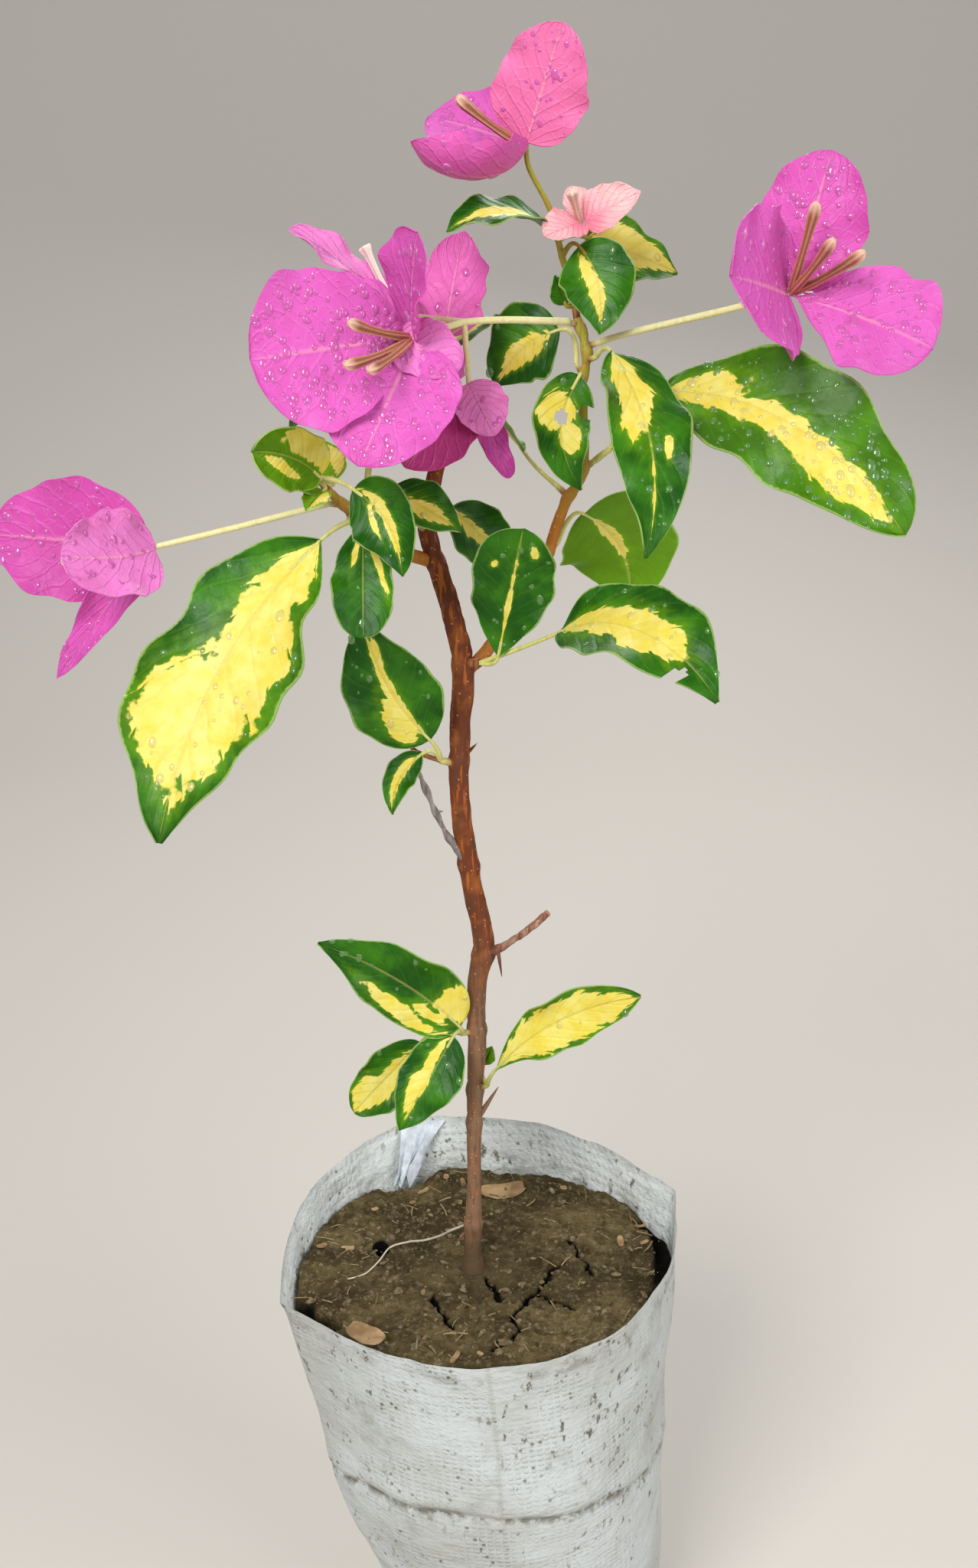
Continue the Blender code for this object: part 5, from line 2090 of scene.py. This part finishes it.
    def build_crumbs(self, material: Material) -> None:
        """Make the small clods that lie on the crust.

        Args:
            material: of the clods.
        """
        dice = random.Random(5)
        models = []
        for seed in (1.0, 8.0, 21.0):
            bpy.ops.object.select_all(action="DESELECT")
            bpy.ops.mesh.primitive_ico_sphere_add(subdivisions=2, radius=1.0)
            model = bpy.context.object
            for vertex in model.data.vertices:
                dent = 0.5 * wobble(vertex.co, 0.8, seed) + 0.2 * wobble(vertex.co, 0.35, seed)
                vertex.co = vertex.co * (1 + dent)
            models.append(model)
        crumbs = []
        for _ in range(self.crumbs):
            x, y, z = self.on_crust(dice)
            size = lerp(0.2, 1.4, dice.random() ** 4)
            turned = Matrix.Rotation(dice.uniform(0, 6.3), 3, "Z")
            turned = turned @ Matrix.Rotation(dice.uniform(-0.5, 0.5), 3, "X")
            shape = [size * dice.uniform(*span) for span in ((0.7, 1.5), (0.6, 1.0), (0.3, 0.7))]
            spot = Vector((x, y, z + size * 0.1))
            crumbs.append(own_copy(dice.choice(models), placed(spot, turned, shape)))
        for model in models:
            bpy.data.objects.remove(model)
        dress(join("soil_crumbs", crumbs), material, "soil")

    def build_litter(self, material: Material) -> None:
        """Make the straw bits.

        Args:
            material: of the straw.
        """
        dice = random.Random(8)
        bits = []
        for _ in range(self.straws):
            x, y, z = self.on_crust(dice, 34 if dice.random() < 0.7 else 10)
            heading, length = dice.uniform(0, 180), dice.uniform(2, 7)
            start = Vector((x, y, z + 0.3))
            stop = step_from(start, (length, heading, dice.uniform(-3, 4)))
            bow = Vector((dice.uniform(-0.3, 0.3), dice.uniform(-0.3, 0.3), 0.1))
            middle = start.lerp(stop, 0.5) + bow
            route = through([tuple(start), tuple(middle), tuple(stop)], 4)
            bits.append(rolled_tube("bit", route, [dice.uniform(0.1, 0.24)] * len(route), 6))
        dress(join("straw_bits", bits), material, "soil")

    def build_chip(self, material: Material) -> None:
        """Make the dry leaf behind the trunk and the flakes in front and by the wall.

        Args:
            material: of all of them.
        """
        chips = []
        dice = random.Random(12)
        laid = list(self.chips)
        for _ in range(self.flakes):
            x, y, _ = self.on_crust(dice, 38)
            spans = ((2, 5), (0.9, 2), (0, 180), (0.1, 0.5))
            laid.append((x, y, *(dice.uniform(*span) for span in spans)))
        for cx, cy, length, width, turn, curl in laid:
            rest = self.height(cx, cy)

            def place(u: float, v: float) -> Vector:
                """Point of the chip.

                Args:
                    u: share along it.
                    v: share across it.

                Returns:
                    The point.
                """
                a = (u - 0.5) * length
                b = (v - 0.5) * width * (1 - 0.5 * (2 * u - 1) ** 4)
                lift = curl * ((2 * u - 1) ** 2 * 0.7 + (2 * v - 1) ** 2 * 0.5) + 0.5
                lift += 0.5 * noise.noise(Vector((a, b, length)) / 3)
                c, s = math.cos(math.radians(turn)), math.sin(math.radians(turn))
                return Vector((cx + a * c - b * s, cy + a * s + b * c, rest + lift))

            chip = shaped_grid("chip", 14, 8, place)
            apply_modifier(chip, "SOLIDIFY", thickness=0.3 * MM, offset=0.0)
            chips.append(chip)
        piece = join("dry_leaf_chips", chips)
        shade_soft(piece, 60)
        dress(piece, material, "soil")

    def build_hair(self, material: Material) -> None:
        """Make the pale root hair on the crust, from the trunk's foot.

        Args:
            material: of the hair.
        """
        stations = list(self.hair_start)
        for x, y, lift in self.hair_over:
            stations.append((x, y, self.height(x, y) + lift))
        route = through(stations, 10)
        radii = [lerp(0.42, 0.22, i / (len(route) - 1)) for i in range(len(route))]
        hair = rolled_tube("root_hair", route, radii, 8, lambda p, v: 0.04 * wobble(p, 1.2))
        shade_soft(hair)
        dress(hair, material, "shoot")


# ---- studio

@dataclass
class Studio:
    """Pale floor that sweeps up behind, soft lights, and the camera."""

    camera_place: Triple = (-0.013, -0.416, 0.4625)
    camera_pitch: float = 20.2
    focal_pixels: float = 2100.0
    frame_pixels: float = 2048.0
    sensor: float = 36.0
    floor_run: Pair = (-1800.0, 6000.0)
    floor_width: float = 7000.0
    sweep_start: float = 900.0
    sweep_radius: float = 900.0
    aimed: Triple = (-0.01, 0.0, 0.33)
    lights: tuple[tuple[str, Triple, float, float], ...] = (
        ("key", (-0.55, -1.05, 1.2), 0.6, 17.5),
        ("fill", (0.95, -0.8, 0.75), 0.9, 8.0),
        ("rim", (0.25, 1.0, 1.1), 0.8, 9.0))
    sky: tuple[float, float, float, float] = (0.9, 0.93, 1.0, 1.0)
    sky_strength: float = 0.43

    def build(self) -> None:
        """Set the floor, the lights and the camera."""
        self.build_floor()
        self.build_lights()
        self.build_camera()

    def build_floor(self) -> None:
        """A floor that curves up into a backdrop."""
        def place(u: float, v: float) -> Triple:
            """Point of the sweep.

            Args:
                u: share across it.
                v: share along it.

            Returns:
                The point.
            """
            start, bend = self.sweep_start, self.sweep_radius
            across, run = (u - 0.5) * self.floor_width, v * self.floor_run[1] + self.floor_run[0]
            if run < start:
                return across, run, 0.0
            angle = min((run - start) / bend, math.pi / 2)
            rest = max(run - start - bend * math.pi / 2, 0.0)
            return across, start + bend * math.sin(angle), bend * (1 - math.cos(angle)) + rest

        floor = shaped_grid("floor", 8, 120, place)
        shade_soft(floor)
        r = Recipe("pale_floor")
        material = r.finish(Base_Color=(0.6, 0.56, 0.5), Roughness=0.6)
        floor.data.materials.append(material)

    def build_lights(self) -> None:
        """A soft key, a fill and a rim, over a grey world."""
        for name, place, size, power in self.lights:
            bpy.ops.object.select_all(action="DESELECT")
            bpy.ops.object.light_add(type="AREA", location=place)
            light = bpy.context.object
            light.name = name
            light.data.size = size
            light.data.energy = power
            towards = Vector(self.aimed) - Vector(place)
            light.rotation_euler = towards.to_track_quat("-Z", "Y").to_euler()
        world = bpy.data.worlds.new("studio")
        world.use_nodes = True
        world.node_tree.nodes["Background"].inputs[0].default_value = self.sky
        world.node_tree.nodes["Background"].inputs[1].default_value = self.sky_strength
        bpy.context.scene.world = world

    def build_camera(self) -> None:
        """The camera, level across and tipped down."""
        bpy.context.scene.view_settings.view_transform = "Standard"
        bpy.ops.object.camera_add(location=self.camera_place,
                                  rotation=(math.radians(90 - self.camera_pitch), 0.0, 0.0))
        camera = bpy.context.object
        camera.data.sensor_fit = "AUTO"
        camera.data.sensor_width = self.sensor
        camera.data.lens = self.sensor * self.focal_pixels / self.frame_pixels
        camera.data.clip_start = 0.01
        bpy.context.scene.camera = camera


# ---- the whole

def make_finishes() -> dict[str, Material]:
    """Make every material of the plant.

    Returns:
        The materials, by plain name.
    """
    finishes = {
        "leaf": LeafFinish(),
        "bract": BractFinish(),
        "floret": FloretFinish(),
        "dew": DewFinish(),
        "bark": SkinFinish("trunk_bark", (0.24, 0.13, 0.07), (0.14, 0.03, 0.008),
                           (0.5, 0.15, 0.025), (222, 275), dusty=0.85),
        "shoot": SkinFinish("young_bark", (0.4, 0.14, 0.018), (0.35, 0.32, 0.04),
                            (0.46, 0.22, 0.03), (372, 412), 0.5, 0.45, 0.5, shadow=0.3),
        "stalk": SkinFinish("leaf_stalk", (0.5, 0.5, 0.14), (0.6, 0.58, 0.18),
                            (0.75, 0.7, 0.3), (200, 440), 0.4, 0.4, 0.4, shadow=0.2),
        "pedicel": SkinFinish("bloom_stalk", (0.72, 0.66, 0.3), (0.75, 0.7, 0.33),
                              (0.85, 0.75, 0.5), (300, 440), 0.4, 0.45, 0.5, shadow=0.12),
        "grey_wood": SkinFinish("dead_grey_wood", (0.16, 0.13, 0.12), (0.3, 0.26, 0.24),
                                (0.42, 0.36, 0.33), (280, 312), 0.6, 0.7),
        "red_wood": SkinFinish("dead_red_wood", (0.17, 0.06, 0.035), (0.3, 0.13, 0.08),
                               (0.5, 0.36, 0.26), (255, 274), 0.6, 0.7),
        "bag": BagFinish(),
        "soil": SoilFinish(),
        "crumb": PlainFinish("soil_crumb", (0.22, 0.165, 0.08), (0.09, 0.062, 0.026), 420, 0.95,
                             0.0008),
        "straw": PlainFinish("straw", (0.34, 0.25, 0.12), (0.2, 0.13, 0.06), 400, 0.85),
        "flap": PlainFinish("torn_sheet", (0.72, 0.78, 0.84), (0.5, 0.54, 0.58), 260, 0.5, 0.0005),
        "chip": PlainFinish("dry_leaf", (0.4, 0.26, 0.12), (0.2, 0.11, 0.04), 150, 0.75, 0.0006),
        "hair": PlainFinish("root_hair", (0.62, 0.55, 0.42), (0.5, 0.42, 0.3), 300, 0.7)}
    return {name: finish.build() for name, finish in finishes.items()}


def main() -> None:
    """Build the bag, the soil, the limbs, the crown and the studio."""
    logging.basicConfig(level=logging.INFO, format="%(name)s: %(message)s")
    finishes = make_finishes()
    bag = GrowBag()
    bag.build(finishes["bag"], finishes["flap"])
    Soil(bag).build(finishes)
    limbs = {}
    for limb, finish, slot in LIMBS:
        limb.build(finishes[finish], slot)
        limbs[limb.name] = limb
    Crown(limbs, finishes).build()
    Studio().build()
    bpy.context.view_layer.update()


if __name__ == "__main__":
    main()
